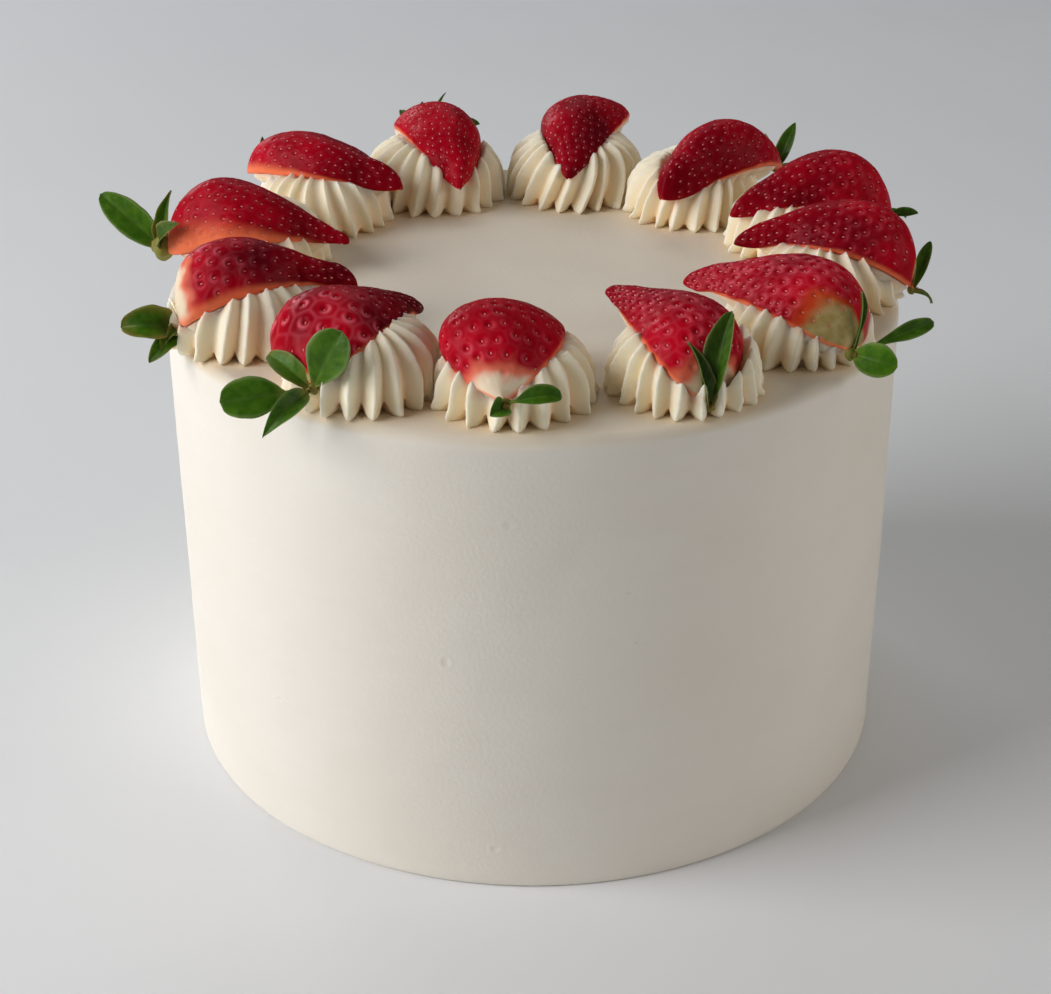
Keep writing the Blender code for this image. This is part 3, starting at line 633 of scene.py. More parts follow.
def berry_piece(number):
    row = BERRIES[number]
    neck_right, neck_left, band_right, band_left, darkness, coarse, netted, blunt_tip = RIPENESS[number]
    rows, skin, flat = 108, 98, 9
    u = np.linspace(0, 1, rows + 2)[1:-1]
    t = 0.45 * u + 0.55 * (1 - np.cos(math.pi * u)) / 2
    a = np.linspace(0, math.pi, skin)
    T, A = np.meshgrid(t, a, indexing="ij")
    points = berry_point(number, T, A, blunt_tip)
    du = berry_point(number, T + 1e-4, A, blunt_tip) - points
    dv = berry_point(number, T, A + 1e-4, blunt_tip) - points
    normal = np.cross(dv, du)
    normal /= np.maximum(np.linalg.norm(normal, axis=-1, keepdims=True), 1e-12)
    spine, side, up = berry_spine(row, T)
    outward = points - spine + up * 0.01
    normal *= np.where((normal * outward).sum(-1, keepdims=True) < 0, -1, 1)
    # the nearest and the second nearest seed tell dimples from the net between them
    places = seed_places(number, row, coarse, blunt_tip)
    centres = [berry_point(number, np.array(st), np.array(sa), blunt_tip) for st, sa, size in places]
    tree = KDTree(len(places))
    for i, p in enumerate(centres):
        tree.insert(Vector(p), i)
    tree.balance()
    found = [tree.find_n(Vector(p), 2) for p in points.reshape(-1, 3)]
    gap = np.array([f[0][2] for f in found]).reshape(T.shape)
    between = np.array([f[1][2] - f[0][2] for f in found]).reshape(T.shape)
    size_at = np.array([places[f[0][1]][2] for f in found]).reshape(T.shape)
    shrink = (1 - 0.28 * smoothstep(0.1, 0.95, T)) * size_at
    deep = np.exp(-(gap / (0.66 * shrink)) ** 2)
    wall = np.exp(-((gap - 1.15 * shrink) / (0.38 * shrink)) ** 2)
    net_and_highlight = np.exp(-(between / (0.70 * shrink)) ** 2)
    edge = np.sin(A)
    edge_fade = smoothstep(0.02, 0.14, edge)
    neck_fade = smoothstep(0.02, 0.12, T) * (0.45 + 0.55 * smoothstep(0.08, 0.24, T))
    ends = smoothstep(0.0, 0.04, 1 - T)
    relief = shrink ** 2 * (-0.42 * deep + 0.12 * wall + 0.09 * net_and_highlight)
    bumps = 0.42 * noise(points, 11, 30 + number) + 0.15 * noise(points, 4.2, 60 + number)
    shift = (relief * neck_fade * ends + bumps * smoothstep(0.0, 0.12, T) * ends) * edge_fade
    shift -= 0.45 * np.exp(-(edge / 0.045) ** 2)
    points = points + normal * shift[..., None]
    # marks for the skin's colours
    split = {3: 0.35}.get(number, 0.0)
    right = smoothstep(-0.45, 0.45, np.cos(A) + split)  # 1 on the side that `side` points to
    neck = neck_right * right + neck_left * (1 - right)
    wobble = 0.05 * noise(points, 9, 90 + number) + 0.03 * noise(points, 3, 95 + number)
    ripe = smoothstep(-0.2, 1.35, (T + wobble * np.minimum(1.0, neck / 0.10)) / neck - 0.55)
    dark = darkness * np.clip(0.22 + 0.74 * smoothstep(0.06, 0.80, T + 1.5 * wobble) + 0.55 * noise(points, 13, 120 + number), 0, 1)
    # the band over the cut edge is partly painted bounce light from the cream
    band_height = (band_right * right + band_left * (1 - right)) * (1.0 - 0.85 * smoothstep(0.25, 0.85, T))
    over = row[6] * berry_share(row, T) * edge + 0.35 * noise(points, 4, 150 + number)
    cut_edge_and_bounce_band = (1 - smoothstep(band_height * 0.30, band_height * 1.45 + 0.35, over)) * (1 - smoothstep(0.72, 0.90, T))
    # painted shade in the dimples
    painted_dimple_shade = deep * neck_fade * edge_fade
    further = {2: 0.35, 3: 0.50}.get(number, 0.0)
    coarse_end = netted * (1 - smoothstep(0.20 + further, 0.62 + further, T))
    # each dimple shows an arc of its wall as a painted highlight, pink like the pale net
    nearest = np.array([f[0][1] for f in found])
    away = points.reshape(-1, 3) - np.array(centres)[nearest]
    ahead = unit(berry_axes(row)[2])
    across = unit(berry_axes(row)[3])
    aim = np.random.default_rng(700 + number).normal(math.pi, 0.8, len(places))[nearest]
    arc = (away @ ahead) * np.cos(aim) + (away @ across) * np.sin(aim)
    arc = np.clip(0.35 + 0.75 * arc / np.maximum(np.linalg.norm(away, axis=-1), 0.2), 0, 1).reshape(T.shape)
    pale_net_and_painted_highlight = (wall * arc * (0.24 + 1.00 * coarse_end)
               + 0.30 * coarse_end * net_and_highlight) * neck_fade * edge_fade
    # flat cut face below, from the far edge back to the near one
    s = np.linspace(0, 1, flat + 2)[1:-1]
    low = np.array([[points[i, -1] + (points[i, 0] - points[i, -1]) * k - up * (0.15 * math.sin(math.pi * k) ** 0.3) for k in s]
                    for i in range(rows)])
    ring = np.concatenate([points, low], 1)
    columns = skin + flat
    mellow = {1: 1.0, 2: 0.6, 11: 0.9}.get(number, 0.0)
    fill = lambda values, under: np.concatenate([values, np.full((rows, flat), under)], 1)
    marks = {"ripe": fill(ripe, 0.75), "dark": fill(dark, 0.0), "painted_dimple_shade": fill(painted_dimple_shade, 0.0), "cut_edge_and_bounce_band": fill(cut_edge_and_bounce_band, 1.0),
             "net_and_highlight": fill(pale_net_and_painted_highlight, 0.0), "mellow": np.full((rows, columns), mellow)}
    verts = ring.reshape(-1, 3).tolist()
    faces = tube_faces(rows, columns).tolist()
    verts.append(ring[0].mean(0) + (ring[0].mean(0) - ring[1].mean(0)) * 0.6)
    faces += fan(list(range(columns)), len(verts) - 1, True)
    verts.append(ring[-1].mean(0) + (ring[-1].mean(0) - ring[-2].mean(0)) * 0.6)
    faces += fan([(rows - 1) * columns + i for i in range(columns)], len(verts) - 1)
    marks = {k: np.append(v.reshape(-1), (v[0].mean(), v[-1].mean())) for k, v in marks.items()}
    obj = new_mesh(f"strawberry_half_{number:02d}", verts, faces, marks)
    face_out(obj)
    # seeds, sunk in their dimples
    seeds = []
    for (st, sa, size), centre in zip(places, centres):
        if st < 1.25 * (neck_right if math.cos(sa) + split > 0 else neck_left) and number != 3:
            continue
        st_, sa_ = np.array(st), np.array(sa)
        fade = float(smoothstep(0.02, 0.12, st_)) * float(0.45 + 0.55 * smoothstep(0.08, 0.24, st_))
        fade *= float(smoothstep(0.02, 0.14, math.sin(sa)))
        eps = 1e-3
        along = berry_point(number, np.array(min(st + eps, 1.0)), sa_, blunt_tip) - berry_point(number, np.array(st - eps), sa_, blunt_tip)
        across = berry_point(number, st_, np.array(sa + eps), blunt_tip) - berry_point(number, st_, np.array(sa - eps), blunt_tip)
        out = np.cross(across, along)
        base, _, lift = berry_spine(row, st_)
        if out @ (centre - base + lift * 0.01) < 0:
            out = -out
        out, along = unit(out), unit(along)
        shrunk = (1 - 0.28 * float(smoothstep(0.1, 0.95, st_))) * size
        bump = 0.42 * float(noise(centre[None], 11, 30 + number)[0]) + 0.15 * float(noise(centre[None], 4.2, 60 + number)[0])
        depth = -0.42 * shrunk ** 2 * fade + bump * float(smoothstep(0.0, 0.12, st_)) * fade
        seeds.append((centre + out * (depth + 0.10), along, unit(np.cross(out, along)), out, 0.64 * (0.75 + 0.25 * shrunk)))
    return obj, seeds


def seed_mesh(name, seeds):
    """All seeds of a berry as one mesh of small teardrops."""
    rings, sides = 4, 6
    unit_points, heads = [], []
    for i in range(1, rings + 1):
        s = i / (rings + 1)
        width = math.sin(math.pi * s) ** 0.75 * (1.0 - 0.35 * s)
        for j in range(sides):
            b = 2 * math.pi * j / sides
            unit_points.append(((s - 0.5) * 1.50, 0.46 * width * math.cos(b), 0.30 * width * math.sin(b)))
    unit_points += [(-0.75, 0, 0), (0.76, 0, 0)]
    unit_points = np.array(unit_points)
    quads = tube_faces(rings, sides)
    tris = np.array(fan(list(range(sides)), rings * sides, True) + fan([(rings - 1) * sides + i for i in range(sides)], rings * sides + 1))
    verts, faces = [], []
    for centre, along, across, out, size in seeds:
        base = len(verts)
        basis = np.stack([along, across, out])
        verts.extend((centre + unit_points * size @ basis).tolist())
        faces.extend((quads + base).tolist())
        faces.extend((tris + base).tolist())
    obj = new_mesh(name, verts, faces)
    face_out(obj)
    return obj


# ------------------------------------------------------------------ leafy caps
def stem_frame(number):
    row = BERRIES[number]
    stem, tip, *_ = berry_axes(row)
    out = unit((stem - tip) * (1, 1, 0))
    side = np.array((-out[1], out[0], 0.0))
    shift, knob = CAPS[number]
    return stem + out * 1.4 + (0, 0, 0.6) + np.array(shift), out, side, knob


def leaf_blade(base, row, out, side, seed):
    """Points, faces and marks of one curved blade with a top and an underside."""
    reach = out * row[0] + side * row[1] + np.array((0, 0, row[2]))
    arch, width, roll, widest, round_base, round_tip, fold, stalk, bend, tone, dry = row[3:]
    roll, fold, bend = math.radians(roll), math.radians(fold), math.radians(bend)
    length = np.linalg.norm(reach)
    axis = reach / length
    normal = unit(np.array((0, 0, 1.0)) - axis * axis[2])
    across = np.cross(axis, normal)
    normal, across = (normal * math.cos(roll) + across * math.sin(roll), across * math.cos(roll) - normal * math.sin(roll))
    nu, nv = 30, 17
    s = np.linspace(0.0, 1.0, nu) ** 0.95
    v = np.linspace(-1, 1, nv)
    # the midrib arches, and its end bends down
    turn = bend * smoothstep(0.45, 1.0, s) * s
    step = np.diff(s, prepend=0.0) * length
    middle = base + np.cumsum(step * np.cos(turn))[:, None] * axis - np.cumsum(step * np.sin(turn))[:, None] * normal
    middle = middle + normal * (arch * 4 * s * (1 - s))[:, None]
    facing = normal * np.cos(turn)[:, None] + axis * np.sin(turn)[:, None]
    S, V = np.meshgrid(s, v, indexing="ij")
    blade = np.clip((S - stalk) / (1 - stalk), 0, 1)
    k = math.log(0.5) / math.log(np.clip((widest - stalk) / (1 - stalk), 0.2, 0.8))
    share = np.sin(math.pi * blade ** k).clip(0, 1)
    exponent = np.where(blade < widest, round_base, round_tip)
    half = width / 2 * share ** exponent
    half = np.maximum(half, 0.55 * (1 - smoothstep(0.35, 0.8, S)))
    ragged = noise(np.stack([S * length, np.sign(V) * 5, S * 0], -1), 3.2, seed)
    half = half * (1 + (0.05 + 0.10 * dry) * ragged)
    cup = abs(math.sin(fold))
    rise = half * math.sin(fold) * (0.75 * np.abs(V) + 0.25 * V * V)
    flat = half * V * (1 - 0.30 * cup * np.abs(V))
    veins = np.abs(((S * 7.0 - np.abs(V) * 1.4) % 1.0) - 0.5) * 2
    vein = np.exp(-((1 - veins) / 0.30) ** 2) * smoothstep(0.08, 0.3, np.abs(V)) * (1 - smoothstep(0.75, 0.98, np.abs(V)))
    rib = np.exp(-(V / 0.10) ** 2)
    wave = (0.30 + 0.5 * dry) * noise(np.stack([S * length, V * width / 2, S * 0 + seed], -1), 3.8, seed + 7) * np.abs(V)
    lift = rise + wave - 0.16 * rib - 0.06 * vein
    top = middle[:, None] + across * flat[..., None] + facing[:, None] * lift[..., None]
    thick = (0.32 + 0.25 * rib) * (1 - 0.65 * np.abs(V) ** 3)
    thick = np.maximum(thick, 0.75 * (1 - smoothstep(0.0, 0.30, S)) * (np.abs(V) < 0.99))
    bottom = top - facing[:, None] * (thick + 0.12 * rib)[..., None]
    # edge of the blade, painted lighter as a highlight
    rim = smoothstep(0.74, 1.0, np.maximum(np.abs(V), smoothstep(0.90, 1.0, S))) * smoothstep(0.05, 0.2, S)
    brown = dry * np.clip(smoothstep(0.35, 1.0, np.abs(V)) * 0.8 + 0.6 * smoothstep(0.7, 1.0, S) + 0.5 * ragged
                          + (0.5 + 0.4 * dry) * (1 - smoothstep(0.0, 0.25 + 0.35 * dry, S)), 0, 1)
    verts = np.concatenate([top.reshape(-1, 3), bottom.reshape(-1, 3)])
    index = np.arange(nu * nv).reshape(nu, nv)
    faces = []
    for i in range(nu - 1):
        for j in range(nv - 1):
            q = (index[i, j], index[i, j + 1], index[i + 1, j + 1], index[i + 1, j])
            faces.append(q)
            faces.append(tuple(x + nu * nv for x in reversed(q)))
    border = ([index[0, j] for j in range(nv)] + [index[i, nv - 1] for i in range(1, nu)]
              + [index[nu - 1, j] for j in range(nv - 2, -1, -1)] + [index[i, 0] for i in range(nu - 2, 0, -1)])
    for a, b in zip(border, border[1:] + border[:1]):
        faces.append((b, a, a + nu * nv, b + nu * nv))
    marks = {"tone": np.full((nu, nv), tone), "rib": np.maximum(rib, 0.6 * vein) + 0 * S, "along": 0.1 * S + 0.9 * blade,
             "rim": rim, "brown": brown}
    return verts, faces, {key: np.tile(value.reshape(-1), 2) for key, value in marks.items()}


def hull_blob(centre, out, radius, seed):
    """The small ragged knob where the leaves meet, with a short torn stub."""
    rings, sides = 16, 22
    axis = unit(out + np.array((0, 0, 0.1)))
    a1 = unit(np.cross(axis, (0, 0, 1)))
    a2 = np.cross(a1, axis)
    s = np.linspace(0, 1, rings)
    heights = np.where(s < 0.75, -np.cos(math.pi * s / 0.75 * 0.80) * radius * 0.8, 0)
    radii = np.where(s < 0.75, np.sin(math.pi * s / 0.75 * 0.80) * radius, 0)
    stub = np.clip((s - 0.75) / 0.25, 0, 1)
    heights = np.where(s < 0.75, heights, radius * 0.62 + stub * 1.0)
    radii = np.where(s < 0.75, radii, radius * (0.55 - 0.15 * stub))
    b = np.arange(sides) * 2 * math.pi / sides
    ribs = 1 + 0.10 * np.sin(5 * b + seed) + 0.06 * np.sin(9 * b + 2 * seed)
    rr = np.maximum(radii, 0.05)[:, None] * ribs[None]
    verts = centre + axis * heights[:, None, None] + a1 * (rr * np.cos(b))[..., None] + a2 * (rr * np.sin(b))[..., None]
    verts = verts.reshape(-1, 3)
    verts = verts + (0.22 * noise(verts, 1.3, seed)[:, None]) * (verts - centre) / radius
    verts = np.concatenate([verts, [centre - axis * radius * 0.82, centre + axis * (radius * 0.62 + 0.8)]])
    faces = tube_faces(rings, sides).tolist()
    faces += fan(list(range(sides)), rings * sides, True)
    faces += fan([(rings - 1) * sides + j for j in range(sides)], rings * sides + 1)
    n = len(verts)
    level = np.append(np.repeat(s, sides), (0.0, 1.0))
    marks = {"tone": np.full(n, 0.55), "rib": np.full(n, 0.1), "along": level * 0.12, "rim": np.zeros(n),
             "brown": 0.35 + 0.65 * smoothstep(0.6, 0.95, level)}
    return verts, faces, marks


def cap_piece(number):
    base, out, side, knob = stem_frame(number)
    verts, faces, marks = [], [], {k: [] for k in ("tone", "rib", "along", "rim", "brown")}

    def join(v, f, m):
        offset = sum(len(x) for x in verts)
        verts.append(np.asarray(v))
        faces.extend([tuple(int(i) + offset for i in q) for q in f])
        for key in marks:
            marks[key].append(m[key])

    join(*hull_blob(base - out * 0.5, out, knob, number))
    for i, leaf in enumerate(LEAVES[number]):
        join(*leaf_blade(base, leaf, out, side, number * 10 + i))
    obj = new_mesh(f"berry_cap_{number:02d}", np.concatenate(verts), faces, {k: np.concatenate(v) for k, v in marks.items()})
    face_out(obj)
    return obj


# ------------------------------------------------------------------ piped rosettes
def cream_limit(number, points):
    """Height of the berry's cut face at each point, and how far the point is outside the berry's outline."""
    row = BERRIES[number]
    grid, (first, second) = SETTLED[number]
    spine, side, up = berry_spine(row, grid)
    reach = side * (row[5] * berry_share(row, grid))[:, None]
    one, two = spine + reach + first, spine - reach + second
    stem, tip = cylindrical(*row[0]) * (1, 1, 0), cylindrical(*row[1]) * (1, 1, 0)
    run = tip - stem
    along = (points * (1, 1, 0) - stem) @ run / (run @ run)
    t = np.clip(along, 0.02, 0.98)
    pick = lambda table: np.stack([np.interp(t, grid, table[:, k]) for k in range(3)], -1)
    near, far = pick(one), pick(two)
    span = (near - far)[..., :2]
    w = ((points - far)[..., :2] * span).sum(-1) / (span ** 2).sum(-1)
    level = far[..., 2] + np.clip(w, -0.3, 1.3) * (near[..., 2] - far[..., 2])
    outline = np.concatenate([one[:, :2], two[::-1, :2]])
    a, b = outline[:-1], outline[1:]
    ab = b - a
    size = np.maximum((ab ** 2).sum(-1), 1e-9)
    flat = points[..., :2].reshape(-1, 1, 2)
    where = np.clip(((flat - a) * ab).sum(-1) / size, 0, 1)
    distance = np.linalg.norm(flat - a - ab * where[..., None], axis=-1).min(1).reshape(points.shape[:-1])
    inside = (w > 0) & (w < 1) & (along > 0) & (along < 1)
    return level, np.where(inside, -distance, distance)


def cushion(number):
    """Cream pressed up against the cut face of a berry, between its outline and the rosette."""
    x, y, foot, height, twist, first, ridges = ROSETTES[number]
    row = BERRIES[number]
    t = np.linspace(0.02, 0.90, 90)
    spine, side, up = berry_spine(row, t)
    reach = side * (row[5] * berry_share(row, t))[:, None]
    shift_one, shift_two = rim_shift(number, t)
    one, two = spine + reach + shift_one, spine - reach + shift_two
    outline = np.concatenate([one, two[::-1]])
    middle = outline.mean(0)
    inward = unit_rows((middle - outline) * (1, 1, 0))
    outline = outline + inward * 0.8 - up * 0.12
    centre = np.array((x, y, CAKE_HEIGHT))
    flat = (outline - centre) * (1, 1, 0)
    far = np.linalg.norm(flat, axis=-1, keepdims=True)
    turn = np.degrees(np.arctan2(flat[:, 1], flat[:, 0]))
    wave = 0.5 - 0.5 * np.cos(np.radians((turn - first - twist) * ridges))
    rings = 14
    inner = lambda z: np.maximum(foot * (1 - np.clip((z - CAKE_HEIGHT) / height, 0, 1) ** DOME) ** (1 / DOME) - 4.6, 5.0)
    top = outline[:, 2:3]
    rim = np.minimum(far, foot * (1.22 if number == 6 else 1.10))
    verts = []
    for k in range(rings):
        s = k / (rings - 1)
        z = top * (1 - s) + (CAKE_HEIGHT - 0.3) * s
        swell = 1 - smoothstep(0.0, 5.5, top - z)
        kept = inner(z) + (rim - inner(top)) * swell - 1.1 * wave[:, None] * smoothstep(0.0, 1.5, top - z)
        ring = centre + flat / np.maximum(far, 1e-6) * np.minimum(kept, rim)
        ring[:, 2:3] = z
        ring[:, :2] += 0.2 * noise(ring, 3.0, 420 + number)[:, None] * min(1.0, 3 * s)
        verts.append(ring)
    count = len(outline)
    verts = np.concatenate(verts + [[verts[0].mean(0)], [verts[-1].mean(0)]])
    faces = tube_faces(rings, count).tolist()
    faces += fan(list(range(count)), rings * count, True)
    faces += fan([(rings - 1) * count + i for i in range(count)], rings * count + 1)
    depth = np.repeat(np.linspace(0, 1, rings), count)
    # painted shade along the valleys of the pressed-up cream
    marks = {"painted_groove_shade": np.append(0.5 * np.tile(wave, rings) + 0.2, (0.2, 1.0)),
             "painted_foot_shade": np.zeros(len(verts)), "rim_redness": np.append(np.exp(-(depth / 0.12) ** 2) * 0.8, (0.0, 0.0))}
    return verts, faces, marks


def rosette_piece(number):
    x, y, foot, height, twist, first, ridges = ROSETTES[number]
    random = np.random.default_rng(200 + number)
    centre = np.array((x, y, CAKE_HEIGHT))
    per_ridge, rows = 14, 46
    columns = ridges * per_ridge
    # boxy dollop profile with even spacing along it, and the way its surface faces
    q = np.linspace(0, math.pi / 2, 900)
    pr, pz = np.cos(q) ** (2 / DOME), np.sin(q) ** (2 / DOME)
    arc = np.concatenate([[0], np.cumsum(np.hypot(np.diff(pr) * foot, np.diff(pz) * height))])
    even = np.interp(np.linspace(0, arc[-1] * 0.985, rows), arc, np.arange(len(arc)))
    nr, nz = pr ** (DOME - 1) / foot, pz ** (DOME - 1) / height
    nr, nz = nr / np.hypot(nr, nz), nz / np.hypot(nr, nz)
    pick = lambda values: np.interp(even, np.arange(len(values)), values)[:, None]
    R, Z, NR, NZ = pick(pr), pick(pz), pick(nr), pick(nz)
    # columns crowd at the crests
    f = (np.arange(per_ridge) / per_ridge)
    f = np.where(f < 0.5, 0.5 * (2 * f) ** 1.2, 1 - 0.5 * (2 - 2 * f) ** 1.2)
    ridge = np.repeat(np.arange(ridges), per_ridge)
    frac = np.tile(f, ridges)
    G = (np.minimum(frac, 1 - frac) * 2)[None]                      # 0 on a crest, 1 in a valley
    jitter = random.normal(0, 1, (ridges + 1, 5))
    jitter[ridges] = jitter[0]
    vary = (jitter[ridge] * (1 - frac)[:, None] + jitter[ridge + 1] * frac[:, None]).T[:, None]
    step = 360.0 / ridges
    skew = 0.18 * (1 if twist > 0 else -1)                          # ridges lean over like a breaking wave
    phase = (ridge + frac)[None] + skew * np.sin(2 * math.pi * frac)[None] / 2 * (0.4 + 0.6 * Z)
    bend = np.radians(first + twist * Z + step * phase + vary[0] * 1.2 + vary[1] * 1.6 * np.sin(math.pi * Z))
    # narrow crests over round valleys, which turn to blunt tongues parted by narrow gaps at the foot
    z = height * Z
    soft = (np.sqrt(G * G + 0.07 ** 2) - 0.07) / (math.sqrt(1 + 0.07 ** 2) - 0.07)
    blade = np.sin(soft * math.pi / 2)
    tongue = 1 - np.sqrt(np.clip(1 - (0.96 * G) ** 2.0, 0, 1))
    low = np.exp(-(z / 2.6) ** 1.5)
    valley = blade * (1 - 0.15 * low) + tongue * 0.15 * low
    depth = foot * 0.142 * (0.25 + 0.75 * R) * R ** 0.35 * (1 + 0.15 * vary[2])
    radius = foot * R * (1 + 0.014 * vary[3]) - depth * valley * NR
    z = z - depth * valley * NZ * 0.9
    # the foot of each ridge swings out a little, and the gap between two lifts off the cake
    radius = radius + 0.9 * np.exp(-((z - 0.7) / 1.5) ** 2) * (1 - G) ** 1.5 * (1 + 0.4 * vary[4]) - 0.7 * np.exp(-z / 0.7)
    z = z + np.exp(-z / 2.0) * 2.4 * smoothstep(0.30, 1.0, G) * (1 + 0.35 * vary[2])
    points = np.stack([centre[0] + radius * np.cos(bend), centre[1] + radius * np.sin(bend), centre[2] + z], -1)
    # unevenness: soft lumps, and slightly torn crests
    normal = np.stack([np.cos(bend) * NR, np.sin(bend) * NR, NZ + 0 * bend], -1)
    rough = {2: 2.0, 3: 1.6, 11: 1.2}.get(number, 1.0)
    lumps = 0.36 * noise(points, 7.0, 300 + number) + 0.13 * rough * noise(points, 2.6, 330 + number)
    tears = 0.22 * rough * noise(points * (1, 1, 1.8), 2.0, 360 + number) * np.exp(-(G / 0.30) ** 2)
    points = points + normal * (lumps + tears)[..., None]
    # squashed against the neighbours
    for other, data in ROSETTES.items():
        away = np.array((data[0] - x, data[1] - y, 0.0))
        distance = np.linalg.norm(away)
        if other != number and distance < foot + data[2] + 3:
            limit = (distance + foot - data[2]) / 2 - 0.06
            reach = (points - centre) @ (away / distance)
            over = reach - soft_min(reach, np.full(reach.shape, limit), 1.2)
            points = points - over[..., None] * (away / distance)
    # under the berry the cream fills up to the cut face; beside it the crests stand up round the rim
    level, beyond = cream_limit(number, points)
    crest = np.clip(1 - G, 0, 1) ** 1.2 + 0 * beyond
    peak = crest * (1.7 + 0.6 * vary[4])
    lip = level + 0.12 + smoothstep(-0.35, 0.5, beyond) * (0.25 + peak) + np.clip(beyond - 0.4, 0, None) * 2.4
    points[..., 2] = soft_min(points[..., 2], lip, 0.5)
    high = points[..., 2] - CAKE_HEIGHT
    # painted shade in the valleys between the ridges, strongest near the foot
    painted_groove_shade = np.clip(valley * (1 - 0.35 * Z) * (0.35 + 0.65 * np.exp(-high / 6.0)), 0, 1)
    # painted shade in the gaps between the ridges' feet
    painted_foot_shade = smoothstep(0.45, 1.0, G) * np.exp(-high / 4.0)
    # reddish tint on the cream along the berry's rim, in patches
    rim_redness = np.exp(-((beyond - 0.1) / 1.2) ** 2) * np.exp(-((points[..., 2] - level) / 1.6) ** 2)
    rim_redness = rim_redness * np.clip(0.6 + 0.8 * noise(points, 6.0, 390 + number), 0, 1)
    verts = points.reshape(-1, 3)
    faces = tube_faces(rows, columns).tolist()
    # tucked foot
    tuck = points[0].copy()
    tuck[:, :2] = centre[:2] + (tuck[:, :2] - centre[:2]) * 0.88
    tuck[:, 2] = CAKE_HEIGHT - 0.4
    start = len(verts)
    verts = np.concatenate([verts, tuck])
    ring = np.arange(columns)
    nxt = (ring + 1) % columns
    faces += np.stack([start + ring, start + nxt, nxt, ring], -1).tolist()
    crown = points[-1].mean(0)
    verts = np.concatenate([verts, [crown, centre - (0, 0, 0.4)]])
    faces += fan([(rows - 1) * columns + i for i in range(columns)], len(verts) - 2)
    faces += fan([start + i for i in range(columns)], len(verts) - 1, True)
    # the tucked foot and the base take full painted shade
    marks = {"painted_groove_shade": np.concatenate([painted_groove_shade.reshape(-1), np.ones(columns), (0.2, 1.0)]),
             "painted_foot_shade": np.concatenate([painted_foot_shade.reshape(-1), np.ones(columns), (0.0, 1.0)]),
             "rim_redness": np.concatenate([rim_redness.reshape(-1), np.zeros(columns), (0.0, 0.0)])}
    more, more_faces, more_marks = cushion(number)
    faces += [tuple(int(i) + len(verts) for i in face) for face in more_faces]
    verts = np.concatenate([verts, more])
    marks = {key: np.concatenate([marks[key], more_marks[key]]) for key in marks}
    obj = new_mesh(f"piped_rosette_{number:02d}", verts, faces, marks)
    face_out(obj)
    return obj


# ------------------------------------------------------------------ build
smooth_frosting = frosting_material("smooth_frosting", False)
piped_frosting = frosting_material("piped_frosting", True)
skin, seeds_look, leaf_look = berry_material(), seed_material(), leaf_material()

finish_piece(cake_surface(), smooth_frosting, "frosting", "cake_body")
for number in sorted(BERRIES):
    finish_piece(rosette_piece(number), piped_frosting, "frosting", f"rosette_{number:02d}")
    berry, seeds = berry_piece(number)
    finish_piece(berry, skin, "strawberry", f"strawberry_{number:02d}")
    finish_piece(seed_mesh(f"berry_seeds_{number:02d}", seeds), seeds_look, "strawberry")
    finish_piece(cap_piece(number), leaf_look, "leaf", f"calyx_{number:02d}")

# ------------------------------------------------------------------ floor, light and camera
def floor():
    """A wide round pale floor."""
    n = Nodes("pale_floor")
    tone = n.noise(3.0, 2.0)
    n.put(n.shader.inputs["Base Color"], n.mix(n.span(tone, 0.3, 0.7), (0.84, 0.85, 0.86), (0.86, 0.87, 0.88)))
    n.put(n.shader.inputs["Roughness"], n.span(n.noise(40.0, 2.0), 0.3, 0.7, 0.75, 0.85))
    bm = bmesh.new()
    bmesh.ops.create_circle(bm, cap_ends=True, segments=160, radius=1.9)
    mesh = bpy.data.meshes.new("floor")
    bm.to_mesh(mesh)
    bm.free()
    obj = bpy.data.objects.new("floor", mesh)
    bpy.context.scene.collection.objects.link(obj)
    obj.data.materials.append(n.material)


def area_light(name, azimuth, elevation, distance, width, height, power, colour, aim=(0, 0, 0.10)):
    light = bpy.data.lights.new(name, "AREA")
    light.shape = "RECTANGLE"
    light.size, light.size_y = width, height
    light.energy = power
    light.color = colour
    obj = bpy.data.objects.new(name, light)
    a, e = math.radians(azimuth), math.radians(elevation)
    obj.location = Vector(aim) + Vector((math.sin(a) * math.cos(e), -math.cos(a) * math.cos(e), math.sin(e))) * distance
    obj.rotation_euler = (Vector(aim) - obj.location).to_track_quat("-Z", "Y").to_euler()
    bpy.context.scene.collection.objects.link(obj)


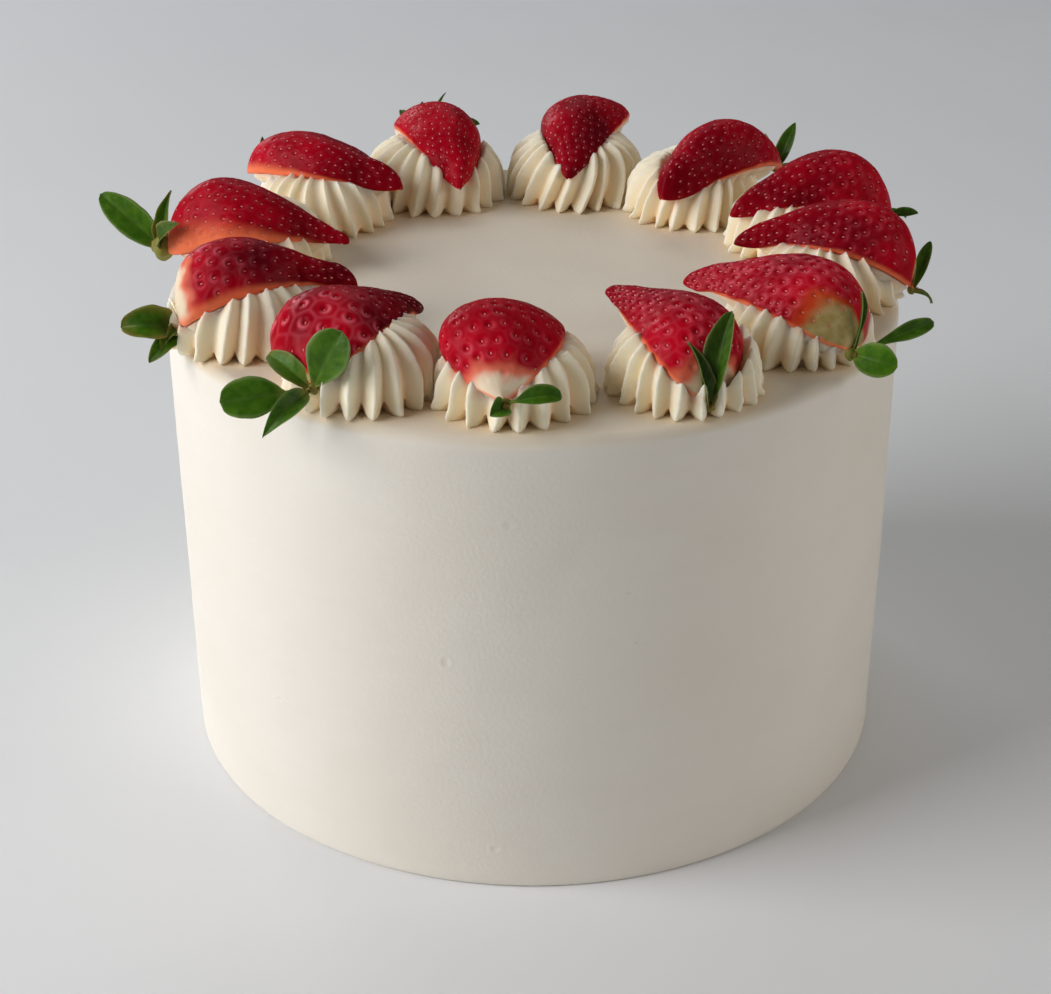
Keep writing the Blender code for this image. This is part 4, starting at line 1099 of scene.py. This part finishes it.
floor()
area_light("window", -74, 27, 1.6, 1.1, 0.9, 22.2, (1.0, 0.99, 1.0))
area_light("right_fill", 78, 20, 1.6, 0.9, 0.9, 6.3, (1.0, 0.93, 0.87))
area_light("back_fill", 180, 40, 1.6, 0.9, 0.9, 2.6, (0.86, 0.95, 1.0))
area_light("floor_wash", -150, 24, 1.9, 0.8, 0.6, 10.0, (0.95, 0.98, 1.0), (-0.45, 0.62, 0.0))
world = bpy.data.worlds.new("studio")
bpy.context.scene.world = world
world.use_nodes = True
sky = world.node_tree.nodes["Background"]
sky.inputs[0].default_value = (0.98, 0.975, 0.97, 1)
shown = world.node_tree.nodes.new("ShaderNodeLightPath")
level = world.node_tree.nodes.new("ShaderNodeMapRange")
level.inputs["To Min"].default_value = 0.092
level.inputs["To Max"].default_value = 0.55
world.node_tree.links.new(shown.outputs["Is Camera Ray"], level.inputs["Value"])
world.node_tree.links.new(level.outputs["Result"], sky.inputs[1])


def camera():
    """The photograph's camera: its focal length in pixels, height and distance were read from the cake's outline."""
    R = 0.1025
    focal = 2050.54
    elevation, distance, target = math.radians(27.485), 5.9602 * R, 0.6314 * R
    yaw, roll = math.radians(-0.218), math.radians(-0.267)
    place = Vector((0, -distance * math.cos(elevation), target + distance * math.sin(elevation)))
    forward = Vector((0, math.cos(elevation), -math.sin(elevation)))
    right = Vector((1, 0, 0))
    up = right.cross(forward)
    forward, right = forward * math.cos(yaw) + right * math.sin(yaw), right * math.cos(yaw) - forward * math.sin(yaw)
    right, up = right * math.cos(roll) + up * math.sin(roll), up * math.cos(roll) - right * math.sin(roll)
    data = bpy.data.cameras.new("photo_camera")
    data.sensor_fit = "HORIZONTAL"
    data.sensor_width = 36
    data.lens = focal * 36 / 1051
    data.clip_start = 0.01
    obj = bpy.data.objects.new("photo_camera", data)
    bpy.context.scene.collection.objects.link(obj)
    turn = Matrix((right, up, -forward)).transposed().to_4x4()
    turn.translation = place
    obj.matrix_world = turn
    bpy.context.scene.camera = obj


camera()
bpy.context.scene.view_settings.view_transform = "Standard"
bpy.context.view_layer.update()
